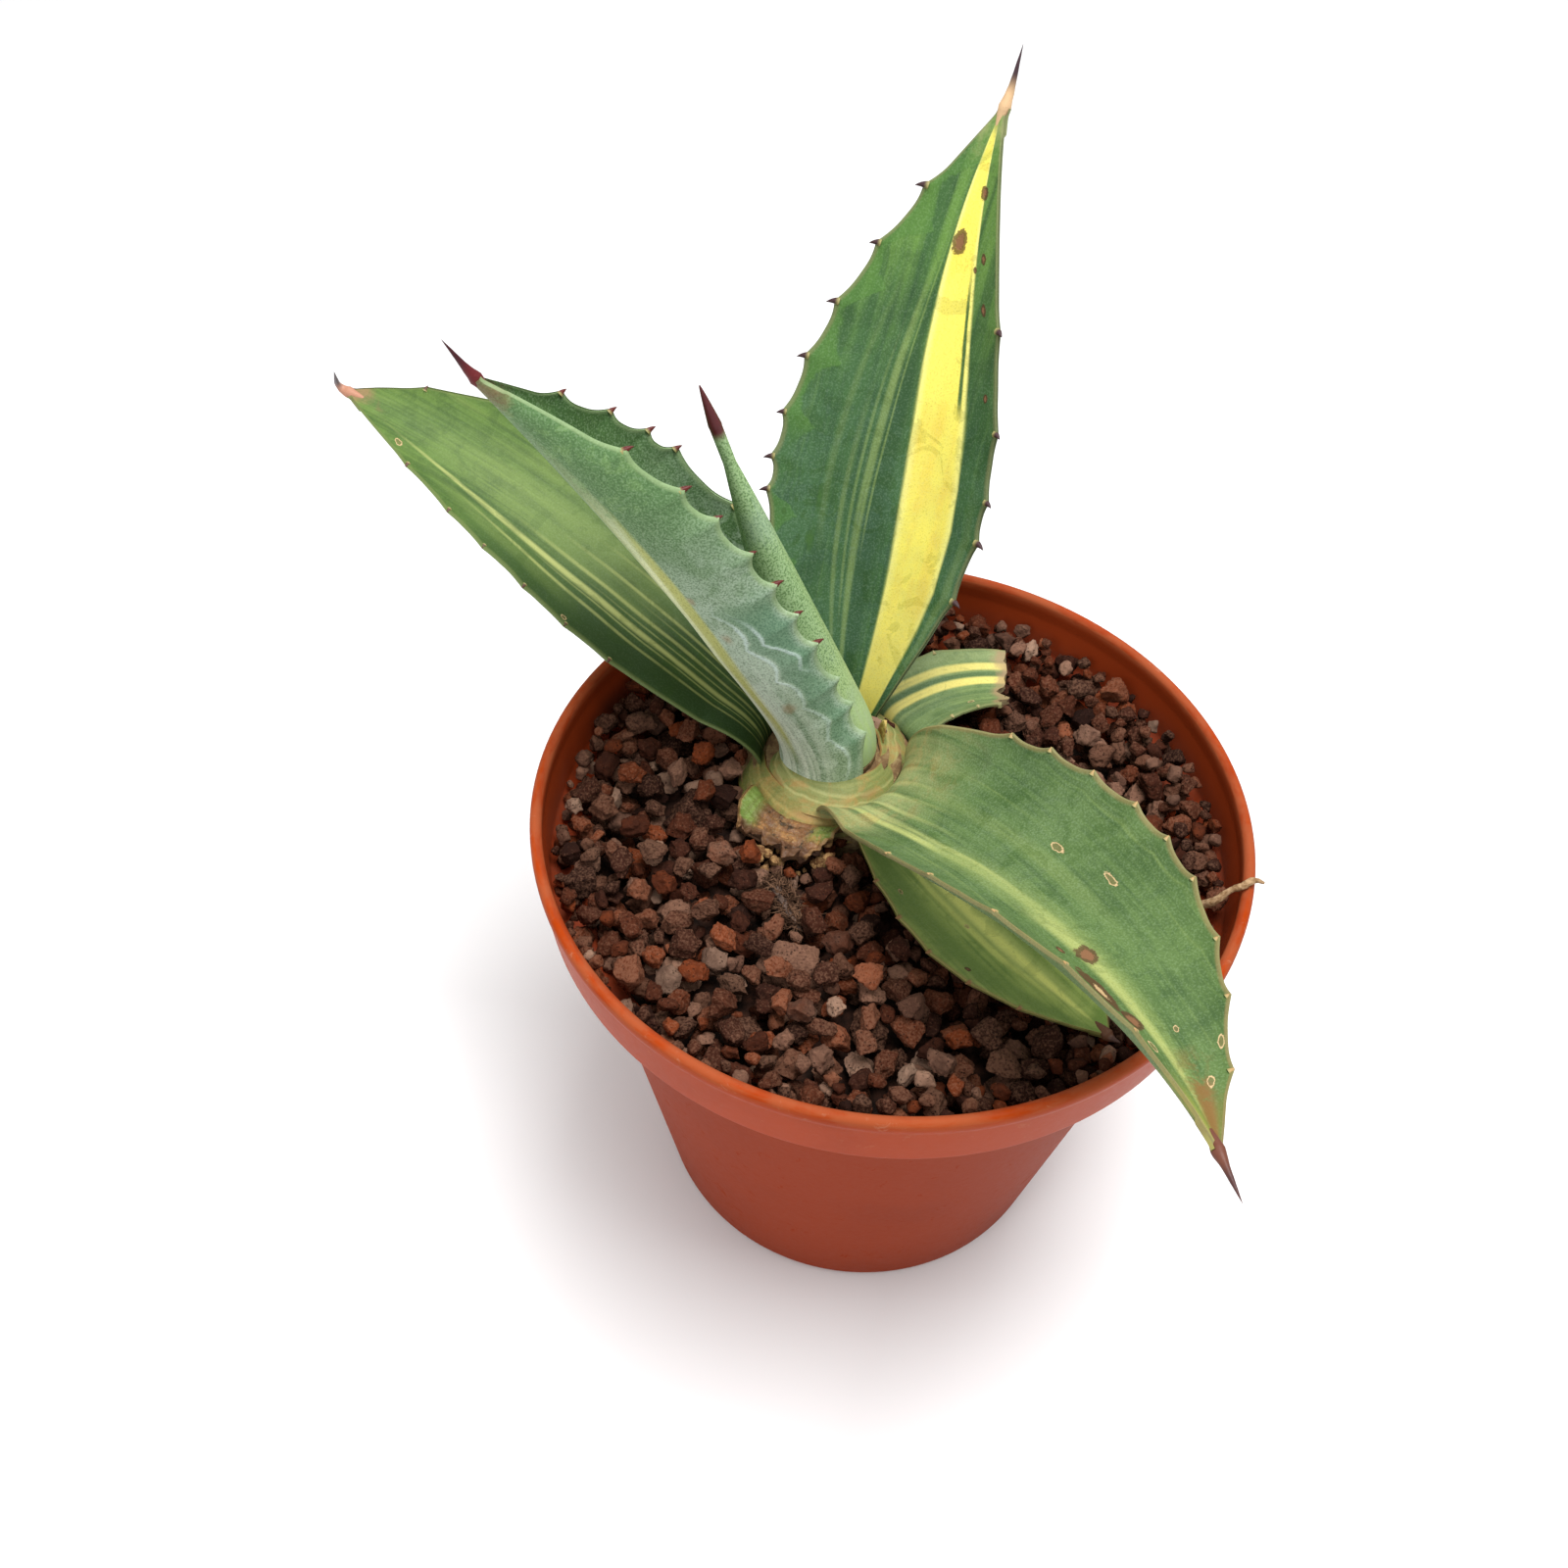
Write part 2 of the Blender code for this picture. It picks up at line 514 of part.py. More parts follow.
def leaf_rings(leaf, rise_extra=0.0):
    shares = leaf_stations(leaf)
    clasp = clasp_angle(leaf)
    faces_across = 2 * max(2, math.ceil(clasp / FACET))
    rings = []
    for share, middle in zip(shares, leaf_line(leaf, shares, rise_extra)):
        _, side, upper = leaf_frame(leaf, share, rise_extra)
        half = leaf_half_width(leaf, share)
        fold = leaf["open"] + (clasp - leaf["open"]) * (1 - share) ** leaf["closing"]
        fold = math.radians(fold)
        radius = half / fold
        thick = BLADE_THICKNESS + (BASE_THICKNESS - BLADE_THICKNESS) * (1 - share) ** 2
        thick = max(thick * (1 - 0.35 * share), EDGE_THICKNESS)
        top, under = [], []
        for index in range(faces_across + 1):
            across = 2 * index / faces_across - 1
            reach = across * fold
            extra = 0.0
            if abs(across) == 1:
                teeth = leaf["left"] if across > 0 else leaf["right"]
                extra = tooth_height(teeth, share, leaf["length"])
            inward = upper * math.cos(reach) - side * math.sin(reach)
            outward = side * math.cos(reach) + upper * math.sin(reach)
            face = middle + upper * radius - inward * radius
            face += outward * (extra if across > 0 else -extra)
            depth = thick * (1 - across ** 2) + EDGE_THICKNESS * across ** 2
            top.append(face)
            under.append(face - inward * depth)
        if leaf["cut"] and share == 1.0:
            along = leaf_frame(leaf, share, rise_extra)[0]
            for index in range(len(top)):
                ragged = 1.6 * MM * math.sin(2.4 * index + 1)
                top[index] += along * ragged
                under[index] += along * ragged
        rings.append(top + list(reversed(under)))
    if leaf["spine"]:
        rings += spine_rings(leaf, rings[-1], rise_extra)
    return rings


def spine_rings(leaf, last, rise_extra):
    """The end spine, in the same number of points as the blade's last ring."""
    along, side, upper = leaf_frame(leaf, 1.0, rise_extra)
    middle = sum(last, Vector()) / len(last)
    count = len(last)
    rings = []
    before = 0.0
    centre = middle
    for share in (0.12, 0.35, 0.65, 1.0):
        lift = math.radians(leaf["spine_lift"]) * min(1.0, share * 2)
        forward = along * math.cos(lift) + upper * math.sin(lift)
        above = upper * math.cos(lift) - along * math.sin(lift)
        radius = SPINE_RADIUS + (SPINE_TIP_RADIUS - SPINE_RADIUS) * share ** 0.9
        centre = centre + forward * leaf["spine"] * (share - before)
        before = share
        ring = []
        for index in range(count):
            angle = math.pi + math.pi * (index + 0.5) * 2 / count
            ring.append(centre + side * radius * math.cos(angle)
                        - above * radius * math.sin(angle))
        rings.append(ring)
    return rings


def lowest_over_lip(leaf, rise_extra):
    """How far a leaf's lowest point above the lip stands clear of it."""
    clear = 1.0
    for ring in leaf_rings(leaf, rise_extra):
        for point in ring:
            reach = math.hypot(point.x, point.y)
            inside = pot_inner_radius(POT_HEIGHT) - 2 * MM
            if inside < reach < POT_RIM_RADIUS + 2 * MM:
                clear = min(clear, point.z - POT_HEIGHT)
    return clear


def fitted_leaf(leaf):
    """Lift a long leaf until it clears the lip, and stop a low one short of the wall."""
    leaf = dict(leaf)
    turn = math.radians(leaf["heading"] + leaf["swing"] / 2)
    if leaf["rise"] < 5 and leaf["spine"]:
        room = wall_distance(turn, OUTER_SEAT) - 3 * MM
        leaf["length"] = min(leaf["length"], room - leaf["ring"] - leaf["spine"])
        return leaf, 0.0
    extra = 0.0
    while lowest_over_lip(leaf, extra) < LIP_CLEARANCE and extra < 60:
        extra += 1.0
    return leaf, extra


def wall_distance(turn, height):
    """Level distance from the stem's axis to the pot's inside, in one direction."""
    radius = pot_inner_radius(height)
    across = STEM_X * math.cos(turn) + STEM_Y * math.sin(turn)
    return -across + math.sqrt(across ** 2 - STEM_X ** 2 - STEM_Y ** 2 + radius ** 2)


def build_leaves(parts):
    for name, leaf in LEAVES.items():
        leaf, extra = fitted_leaf(leaf)
        mesh = mesh_from_rings(name, leaf_rings(leaf, extra))
        add_object(name, mesh, parts, LEAF_COLOURS[name])


def build_spike(parts):
    """The rolled young leaves, as the closed cone that they still are."""
    seat = OUTER_SEAT + 4 * SEAT_STEP
    turn = math.radians(SPIKE_HEADING)
    point = Vector((STEM_X, STEM_Y, seat))
    rings = []
    stations = 12
    step = SPIKE_LENGTH / stations
    total = SPIKE_LENGTH + SPIKE_SPINE
    for station in range(stations + 3):
        share = min(station / stations, 1.0)
        start = (1 - smooth_share(share * SPIKE_LENGTH / SPIKE_SHEATH)) ** 2
        slope = math.radians(SPIKE_RISE * (1 - start) + 90 * start)
        along = Vector((math.cos(slope) * math.cos(turn), math.cos(slope) * math.sin(turn),
                        math.sin(slope)))
        side = Vector((-math.sin(turn), math.cos(turn), 0.0))
        upper = along.cross(side)
        radius = max(SPIKE_RADIUS * (1 - share) ** SPIKE_TAPER, SPINE_RADIUS)
        if station > stations:
            radius = SPINE_RADIUS if station == stations + 1 else SPINE_TIP_RADIUS
        ring = []
        for corner in range(SPIKE_SIDES):
            angle = 2 * math.pi * corner / SPIKE_SIDES
            ring.append(point + (side * math.cos(angle) + upper * math.sin(angle)) * radius)
        rings.append(ring)
        stride = step
        if station >= stations:
            stride = (total - SPIKE_LENGTH) * (0.3 if station == stations else 0.7)
        point = point + along * stride
    mesh = mesh_from_rings("leaf_spike", rings)
    add_object("leaf_spike", mesh, parts, "spike")


# ---------------------------------------------------------------- loose pieces

def bed_height(x, y):
    """Height of the bed's crown at a place."""
    reach = math.hypot(x, y) / POT_RIM_RADIUS
    for (near, high), (far, low) in zip(CROWN_KNOTS, CROWN_KNOTS[1:]):
        if reach <= far:
            share = (reach - near) / (far - near)
            return MIX_TOP + MIX_CROWN * (high + (low - high) * share)
    return MIX_TOP


def bed_place(bearing, share):
    turn = math.radians(bearing)
    room = wall_distance(turn, MIX_TOP) - STONE_WALL_GAP - STONE_ZONE_START
    reach = STONE_ZONE_START + room * share
    return STEM_X + reach * math.cos(turn), STEM_Y + reach * math.sin(turn)


def lump_mesh(name, length, width, height, roughness, seed, turn):
    """An irregular stone from a round start, flattened and knocked about."""
    dice = random.Random(seed)
    shape = bmesh.new()
    bmesh.ops.create_icosphere(shape, subdivisions=2, radius=0.5)
    for vert in shape.verts:
        vert.co *= 1 + dice.uniform(-roughness, roughness)
    stretch = Matrix.Diagonal((length, width, height, 1.0))
    bmesh.ops.transform(shape, matrix=Matrix.Rotation(turn, 4, "Z") @ stretch,
                        verts=shape.verts)
    low = min(vert.co.z for vert in shape.verts)
    for vert in shape.verts:
        vert.co.z -= low
    mesh = bpy.data.meshes.new(name)
    shape.to_mesh(mesh)
    shape.free()
    return mesh


def settle(item, x, y):
    """Set a loose piece on the bed, with the touching gap at its nearest point."""
    item.location = (x, y, 0)
    drop = min(vert.co.z - bed_height(x + vert.co.x, y + vert.co.y)
               for vert in item.data.vertices)
    item.location.z = FIT_GAP - drop


def build_stones(parts):
    for index, (bearing, share, length, colour) in enumerate(STONES):
        name = "stone_%02d" % (index + 1)
        dice = random.Random(100 + index)
        length *= MM
        mesh = lump_mesh(name, length, length * dice.uniform(0.75, 0.95),
                         length * STONE_FLATNESS * dice.uniform(0.85, 1.1),
                         STONE_ROUGHNESS, index, dice.uniform(0, math.pi))
        settle(add_object(name, mesh, parts, colour, 25), *bed_place(bearing, share))


def tube(name, points, radii, sides):
    rings = []
    for index, point in enumerate(points):
        before = points[max(index - 1, 0)]
        after = points[min(index + 1, len(points) - 1)]
        along = (after - before).normalized()
        side = along.cross(Vector((0, 0, 1))).normalized()
        upper = side.cross(along)
        ring = []
        for corner in range(sides):
            angle = 2 * math.pi * corner / sides
            turned_out = side * math.cos(angle) + upper * math.sin(angle)
            ring.append(point + turned_out * radii[index])
        rings.append(ring)
    return mesh_from_rings(name, rings)


def build_straw(parts):
    """A dry straw that lies on the bed and leans out over the lip."""
    turn = math.radians(STRAW_BEARING)
    out = Vector((math.cos(turn), math.sin(turn), 0))
    side = Vector((-math.sin(turn), math.cos(turn), 0))
    low = POT_RIM_RADIUS - STRAW_INSIDE
    rest = POT_HEIGHT + STRAW_RADIUS + FIT_GAP + 0.2 * MM
    start = MIX_TOP + MIX_CROWN + STRAW_RADIUS + FIT_GAP
    points, radii = [], []
    stations = 9
    for station in range(stations):
        share = station / (stations - 1)
        reach = low + (POT_RIM_RADIUS + STRAW_OUTSIDE - low) * share
        climb = math.sin(math.pi / 2 * min(share * 1.12, 1.0))
        height = start + (rest - start) * climb
        points.append(out * reach + side * 5 * MM * (share - 1) + Vector((0, 0, height)))
        radii.append(STRAW_RADIUS * (1.0 - 0.45 * abs(2 * share - 1)))
    add_object("dry_straw", tube("dry_straw", points, radii, 7), parts, "straw")


def build_tuft(parts):
    mesh = lump_mesh("dried_tuft", TUFT_LENGTH, TUFT_WIDTH, TUFT_WIDTH * 0.8, 0.18, 77,
                     math.radians(-64))
    settle(add_object("dried_tuft", mesh, parts, "tuft", 25),
           *bed_place(TUFT_BEARING, TUFT_SHARE))


def build_bract(parts):
    """A small dry bract that stands on the inner seat, beside the rolled leaves."""
    turn = math.radians(BRACT_HEADING)
    out = Vector((math.cos(turn), math.sin(turn), 0))
    side = Vector((-math.sin(turn), math.cos(turn), 0))
    seat = OUTER_SEAT + 3 * SEAT_STEP
    foot = Vector((STEM_X, STEM_Y, seat)) + out * (FIRST_RING + BASE_THICKNESS / 2)
    rings = []
    for share in (0.0, 0.35, 0.7, 1.0):
        wide = BRACT_WIDTH / 2 * (1 - 0.8 * share ** 2)
        thick = 0.7 * MM * (1 - 0.6 * share)
        middle = foot + Vector((0, 0, BRACT_LENGTH * share)) + out * 0.4 * MM * share
        ring = []
        for corner in range(8):
            angle = 2 * math.pi * corner / 8
            ring.append(middle + side * wide * math.cos(angle) + out * thick * math.sin(angle))
        rings.append(ring)
    mesh = mesh_from_rings("bract", rings)
    add_object("bract", mesh, parts, "bract")


def main():
    clear_scene()
    parts = new_collection(PART_NAME)
    cutters = new_collection(CUTTERS_NAME, hidden=True)
    build_pot(parts, cutters)
    build_mix(parts, cutters)
    build_stem("stem_with_roots", parts, cutters, colour="stem")
    build_leaves(parts)
    build_spike(parts)
    build_stones(parts)
    build_straw(parts)
    build_tuft(parts)
    build_bract(parts)


main()
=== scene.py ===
import math
import random
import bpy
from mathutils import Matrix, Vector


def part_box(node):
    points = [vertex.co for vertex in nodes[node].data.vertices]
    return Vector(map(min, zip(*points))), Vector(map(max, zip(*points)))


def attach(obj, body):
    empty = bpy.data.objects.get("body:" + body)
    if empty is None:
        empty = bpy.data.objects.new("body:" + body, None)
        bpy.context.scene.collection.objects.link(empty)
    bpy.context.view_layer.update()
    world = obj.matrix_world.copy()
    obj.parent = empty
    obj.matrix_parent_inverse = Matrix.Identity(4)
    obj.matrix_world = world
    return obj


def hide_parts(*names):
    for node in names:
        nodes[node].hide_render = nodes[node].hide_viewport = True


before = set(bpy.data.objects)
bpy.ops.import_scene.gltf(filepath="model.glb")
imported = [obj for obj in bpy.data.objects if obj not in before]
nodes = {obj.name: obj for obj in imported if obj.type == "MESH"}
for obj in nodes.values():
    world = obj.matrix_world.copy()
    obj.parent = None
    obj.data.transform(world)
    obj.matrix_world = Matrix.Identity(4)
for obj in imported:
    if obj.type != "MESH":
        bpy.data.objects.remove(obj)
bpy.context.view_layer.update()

from types import SimpleNamespace

import bmesh
import bpy
import numpy as np
from mathutils import Matrix, Vector, noise

mm = 0.001
scene = bpy.context.scene


# shader helpers

class Wire:
    # one socket; sums and products of wires add the Math nodes they need
    def __init__(self, paint, socket):
        self.paint = paint
        self.socket = socket

    def maths(self, operation, first, second=0.0):
        return self.paint.node("ShaderNodeMath", {"operation": operation}, {0: first, 1: second})

    def __add__(self, other):
        return self.maths("ADD", self, other)

    def __radd__(self, other):
        return self.maths("ADD", other, self)

    def __sub__(self, other):
        return self.maths("SUBTRACT", self, other)

    def __rsub__(self, other):
        return self.maths("SUBTRACT", other, self)

    def __mul__(self, other):
        return self.maths("MULTIPLY", self, other)

    def __rmul__(self, other):
        return self.maths("MULTIPLY", other, self)

    def __truediv__(self, other):
        return self.maths("DIVIDE", self, other)

    def __pow__(self, other):
        return self.maths("POWER", self, other)

    def __abs__(self):
        return self.maths("ABSOLUTE", self)

    def highest(self, other):
        return self.maths("MAXIMUM", self, other)

    def wave(self):
        return self.maths("SINE", self)


class Paint:
    # a material round one Principled shader; fixed holds values that are the same all over
    def __init__(self, name, fixed=None):
        self.material = bpy.data.materials.new(name)
        self.material.use_nodes = True
        self.tree = self.material.node_tree
        self.shader = self.tree.nodes["Principled BSDF"]
        for socketName, value in (fixed or {}).items():
            self.shader.inputs[socketName].default_value = value

    def put(self, socket, value):
        if isinstance(value, Wire):
            self.tree.links.new(value.socket, socket)
        elif isinstance(value, tuple) and socket.type == "RGBA":
            socket.default_value = (*value, 1.0)
        else:
            socket.default_value = value

    def node(self, kind, settings=None, inputs=None, output=0):
        made = self.tree.nodes.new(kind)
        for key, value in (settings or {}).items():
            if key == "stops":
                ramp = made.color_ramp
                while len(ramp.elements) < len(value):
                    ramp.elements.new(1.0)
                for element, (place, colour) in zip(ramp.elements, value):
                    element.position = place
                    element.color = (*colour, 1.0)
            else:
                setattr(made, key, value)
        for key, value in (inputs or {}).items():
            self.put(made.inputs[key], value)
        return Wire(self, made.outputs[output])

    def read(self, name):
        return self.node("ShaderNodeAttribute", {"attribute_name": name}, output=2)

    def place(self):
        return self.node("ShaderNodeTexCoord", output=3)

    def split(self, vector):
        return [self.node("ShaderNodeSeparateXYZ", inputs={0: vector}, output=part)
                for part in range(3)]

    def combine(self, x, y, z):
        return self.node("ShaderNodeCombineXYZ", inputs={0: x, 1: y, 2: z})

    def noise(self, vector, scale, detail=3.0, rough=0.5, distortion=0.0):
        return self.node("ShaderNodeTexNoise", inputs={
            "Vector": vector, "Scale": scale, "Detail": detail, "Roughness": rough,
            "Distortion": distortion})

    def cells(self, vector, scale):
        return self.node("ShaderNodeTexVoronoi", inputs={"Vector": vector, "Scale": scale})

    def smooth(self, value, low, high):
        return self.node("ShaderNodeMapRange", {"interpolation_type": "SMOOTHSTEP"},
                         {0: value, 1: low, 2: high})

    def mix(self, first, second, factor):
        return self.node("ShaderNodeMix", {"data_type": "RGBA"},
                         {0: factor, 6: first, 7: second}, output=2)

    def ramp(self, value, stops):
        return self.node("ShaderNodeValToRGB", {"stops": stops}, {0: value})

    def finish(self, colour, roughness, height=None, depth=0.1 * mm, strength=0.5):
        self.put(self.shader.inputs["Base Color"], colour)
        self.put(self.shader.inputs["Roughness"], roughness)
        if height is not None:
            bump = self.node("ShaderNodeBump", inputs={
                "Strength": strength, "Distance": depth, "Height": height})
            self.put(self.shader.inputs["Normal"], bump)
        return self.material


# mesh helpers

def meshPiece(name, points, faces, paint, replaced=(), values=None, angle=40):
    mesh = bpy.data.meshes.new(name)
    mesh.from_pydata([tuple(point) for point in points], [], faces)
    mesh.materials.append(paint)
    return dressed(name, mesh, replaced, values, angle)


def dressed(name, mesh, replaced=(), values=None, angle=40):
    for key, numbers in (values or {}).items():
        layer = mesh.attributes.new(key, "FLOAT", "POINT")
        layer.data.foreach_set("value", np.asarray(numbers, dtype=np.float32))
    mesh.shade_smooth()
    if angle:
        mesh.set_sharp_from_angle(angle=math.radians(angle))
    piece = bpy.data.objects.new(name, mesh)
    scene.collection.objects.link(piece)
    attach(piece, "root")
    if replaced:
        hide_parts(*replaced)
    return piece


def ringFaces(start, rings, count, closed=True):
    # quads between equal rings of points, and one face over each end of a closed piece
    faces = []
    for row in range(rings - 1):
        low = start + row * count
        for index in range(count):
            after = (index + 1) % count
            faces.append((low + index, low + after, low + count + after, low + count + index))
    if closed:
        faces.append(tuple(start + index for index in reversed(range(count))))
        last = start + (rings - 1) * count
        faces.append(tuple(last + index for index in range(count)))
    return faces


def hornPoints(foot, out, forward, across, length, radius, rings, sides, curve):
    # a hooked cone: out is where it starts to point, forward where it bends to
    points, shares = [], []
    centre = foot.copy()
    step = length / (rings - 1)
    for ring in range(rings):
        share = ring / (rings - 1)
        heading = (out + forward * curve * share).normalized()
        level = across.normalized()
        over = heading.cross(level).normalized()
        wide = radius * (1 - share) ** 0.8 + 0.03 * mm
        for side in range(sides):
            turn = 2 * math.pi * side / sides
            points.append(centre + (level * math.cos(turn) + over * math.sin(turn)) * wide)
            shares.append(share)
        centre = centre + heading * step
    return points, shares


def tidyNormals(piece):
    shape = bmesh.new()
    shape.from_mesh(piece.data)
    bmesh.ops.recalc_face_normals(shape, faces=shape.faces[:])
    shape.to_mesh(piece.data)
    shape.free()


def compass(degrees):
    # the level directions along a bearing and to its left
    turn = math.radians(degrees)
    return Vector((math.cos(turn), math.sin(turn), 0)), Vector((-math.sin(turn), math.cos(turn), 0))


def corners(node):
    return [Vector(corner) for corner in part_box(node)]


# the frame's main sizes, in the same words as the CAD source

pot = dict(height=105 * mm, rim=65 * mm, base=42 * mm, wall=1.5 * mm, lip=2.2 * mm,
           band=14.5 * mm, draft=1.6 * mm, step=6 * mm, foot=3.2 * mm, footWidth=3.5 * mm,
           pad=16 * mm, drains=8, drainRadius=3.5 * mm, drainCircle=27.5 * mm)
stem = Vector((-10.5 * mm, 18 * mm, 0))
outerSeat = 94.5 * mm
seatStep = 1.5 * mm
rings = dict(spike=8.0 * mm, first=8.6 * mm, second=11.1 * mm, third=13.6 * mm,
             outer=16.1 * mm)
bandBottom = pot["height"] - pot["band"]
bodyTop = pot["rim"] - pot["draft"] - pot["step"]


def wallInside(height):
    # inner radius of the pot at a height
    if height < bandBottom:
        return pot["base"] + (bodyTop - pot["base"]) * height / bandBottom - pot["wall"]
    share = (height - bandBottom) / pot["band"]
    return pot["rim"] - pot["wall"] - pot["draft"] * (1 - share)


# pot

potLook = dict(
    clay=(0.350, 0.040, 0.0025), deep=(0.165, 0.017, 0.002), worn=(0.345, 0.092, 0.036),
    inside=(0.285, 0.040, 0.010), dust=(0.52, 0.30, 0.20), soil=(0.16, 0.06, 0.04),
    gloss=0.05, rough=0.34, clouding=0.35, lowShade=0.55, lipWear=0.62, scuffs=0.20, soiling=0.5,
    corner=0.5 * mm, segments=180)


def softened(profile, cut):
    # rounds every corner of a turned profile with three points
    made = [profile[0]]
    for before, corner, after in zip(profile, profile[1:], profile[2:]):
        before, corner, after = Vector(before), Vector(corner), Vector(after)
        low = min(cut, 0.35 * (before - corner).length)
        high = min(cut, 0.35 * (after - corner).length)
        start = corner + (before - corner).normalized() * low
        end = corner + (after - corner).normalized() * high
        made += [tuple(start), tuple(start * 0.25 + corner * 0.5 + end * 0.25), tuple(end)]
    made.append(profile[-1])
    return made


def potPaint():
    paint = Paint("terracotta plastic", {"Specular IOR Level": potLook["gloss"]})
    spot = paint.place()
    apart, across, height = paint.split(spot)
    cloud = paint.noise(spot, 38, 4, 0.6)
    grain = paint.noise(spot, 900, 3, 0.6)
    flow = paint.noise(paint.combine(apart, across, height * 7.0), 120, 4, 0.65)
    inner = paint.read("potInner")
    colour = paint.mix(potLook["clay"], potLook["deep"],
                       paint.smooth(cloud, 0.45, 0.8) * potLook["clouding"])
    # painted shade: below the band the body is painted darker, standing in for the shadow that falls
    # there
    low = paint.smooth(height, bandBottom + 1 * mm, bandBottom - 6 * mm)
    colour = paint.mix(colour, potLook["deep"], low * potLook["lowShade"])
    colour = paint.mix(colour, potLook["inside"], inner * 0.85)
    # lip worn lighter, with broken dull edges
    lip = paint.smooth(height, pot["height"] - 2.6 * mm, pot["height"] - 0.6 * mm)
    wear = lip * paint.smooth(flow, 0.32, 0.62)
    colour = paint.mix(colour, potLook["worn"], wear * potLook["lipWear"])
    # pale scuffs on the band, and grit dust inside just above the bed
    scuff = paint.smooth(paint.noise(spot, 260, 5, 0.75, 0.8), 0.60, 0.68)
    band = paint.smooth(height, bandBottom, bandBottom + 2 * mm) * (1 - inner)
    colour = paint.mix(colour, potLook["dust"], scuff * band * potLook["scuffs"])
    dirt = inner * paint.smooth(height, 100 * mm, 92 * mm)
    dirt = dirt * paint.smooth(cloud + grain * 0.3, 0.5, 0.8)
    colour = paint.mix(colour, potLook["soil"], dirt * potLook["soiling"])
    rough = potLook["rough"] + grain * 0.12 + wear * 0.2 + scuff * 0.15 + inner * 0.08 + low * 0.12
    ripple = grain * 0.25 + flow * 0.5 + scuff * band * 0.6
    return paint.finish(colour, rough, ripple, 0.06 * mm, 0.35)


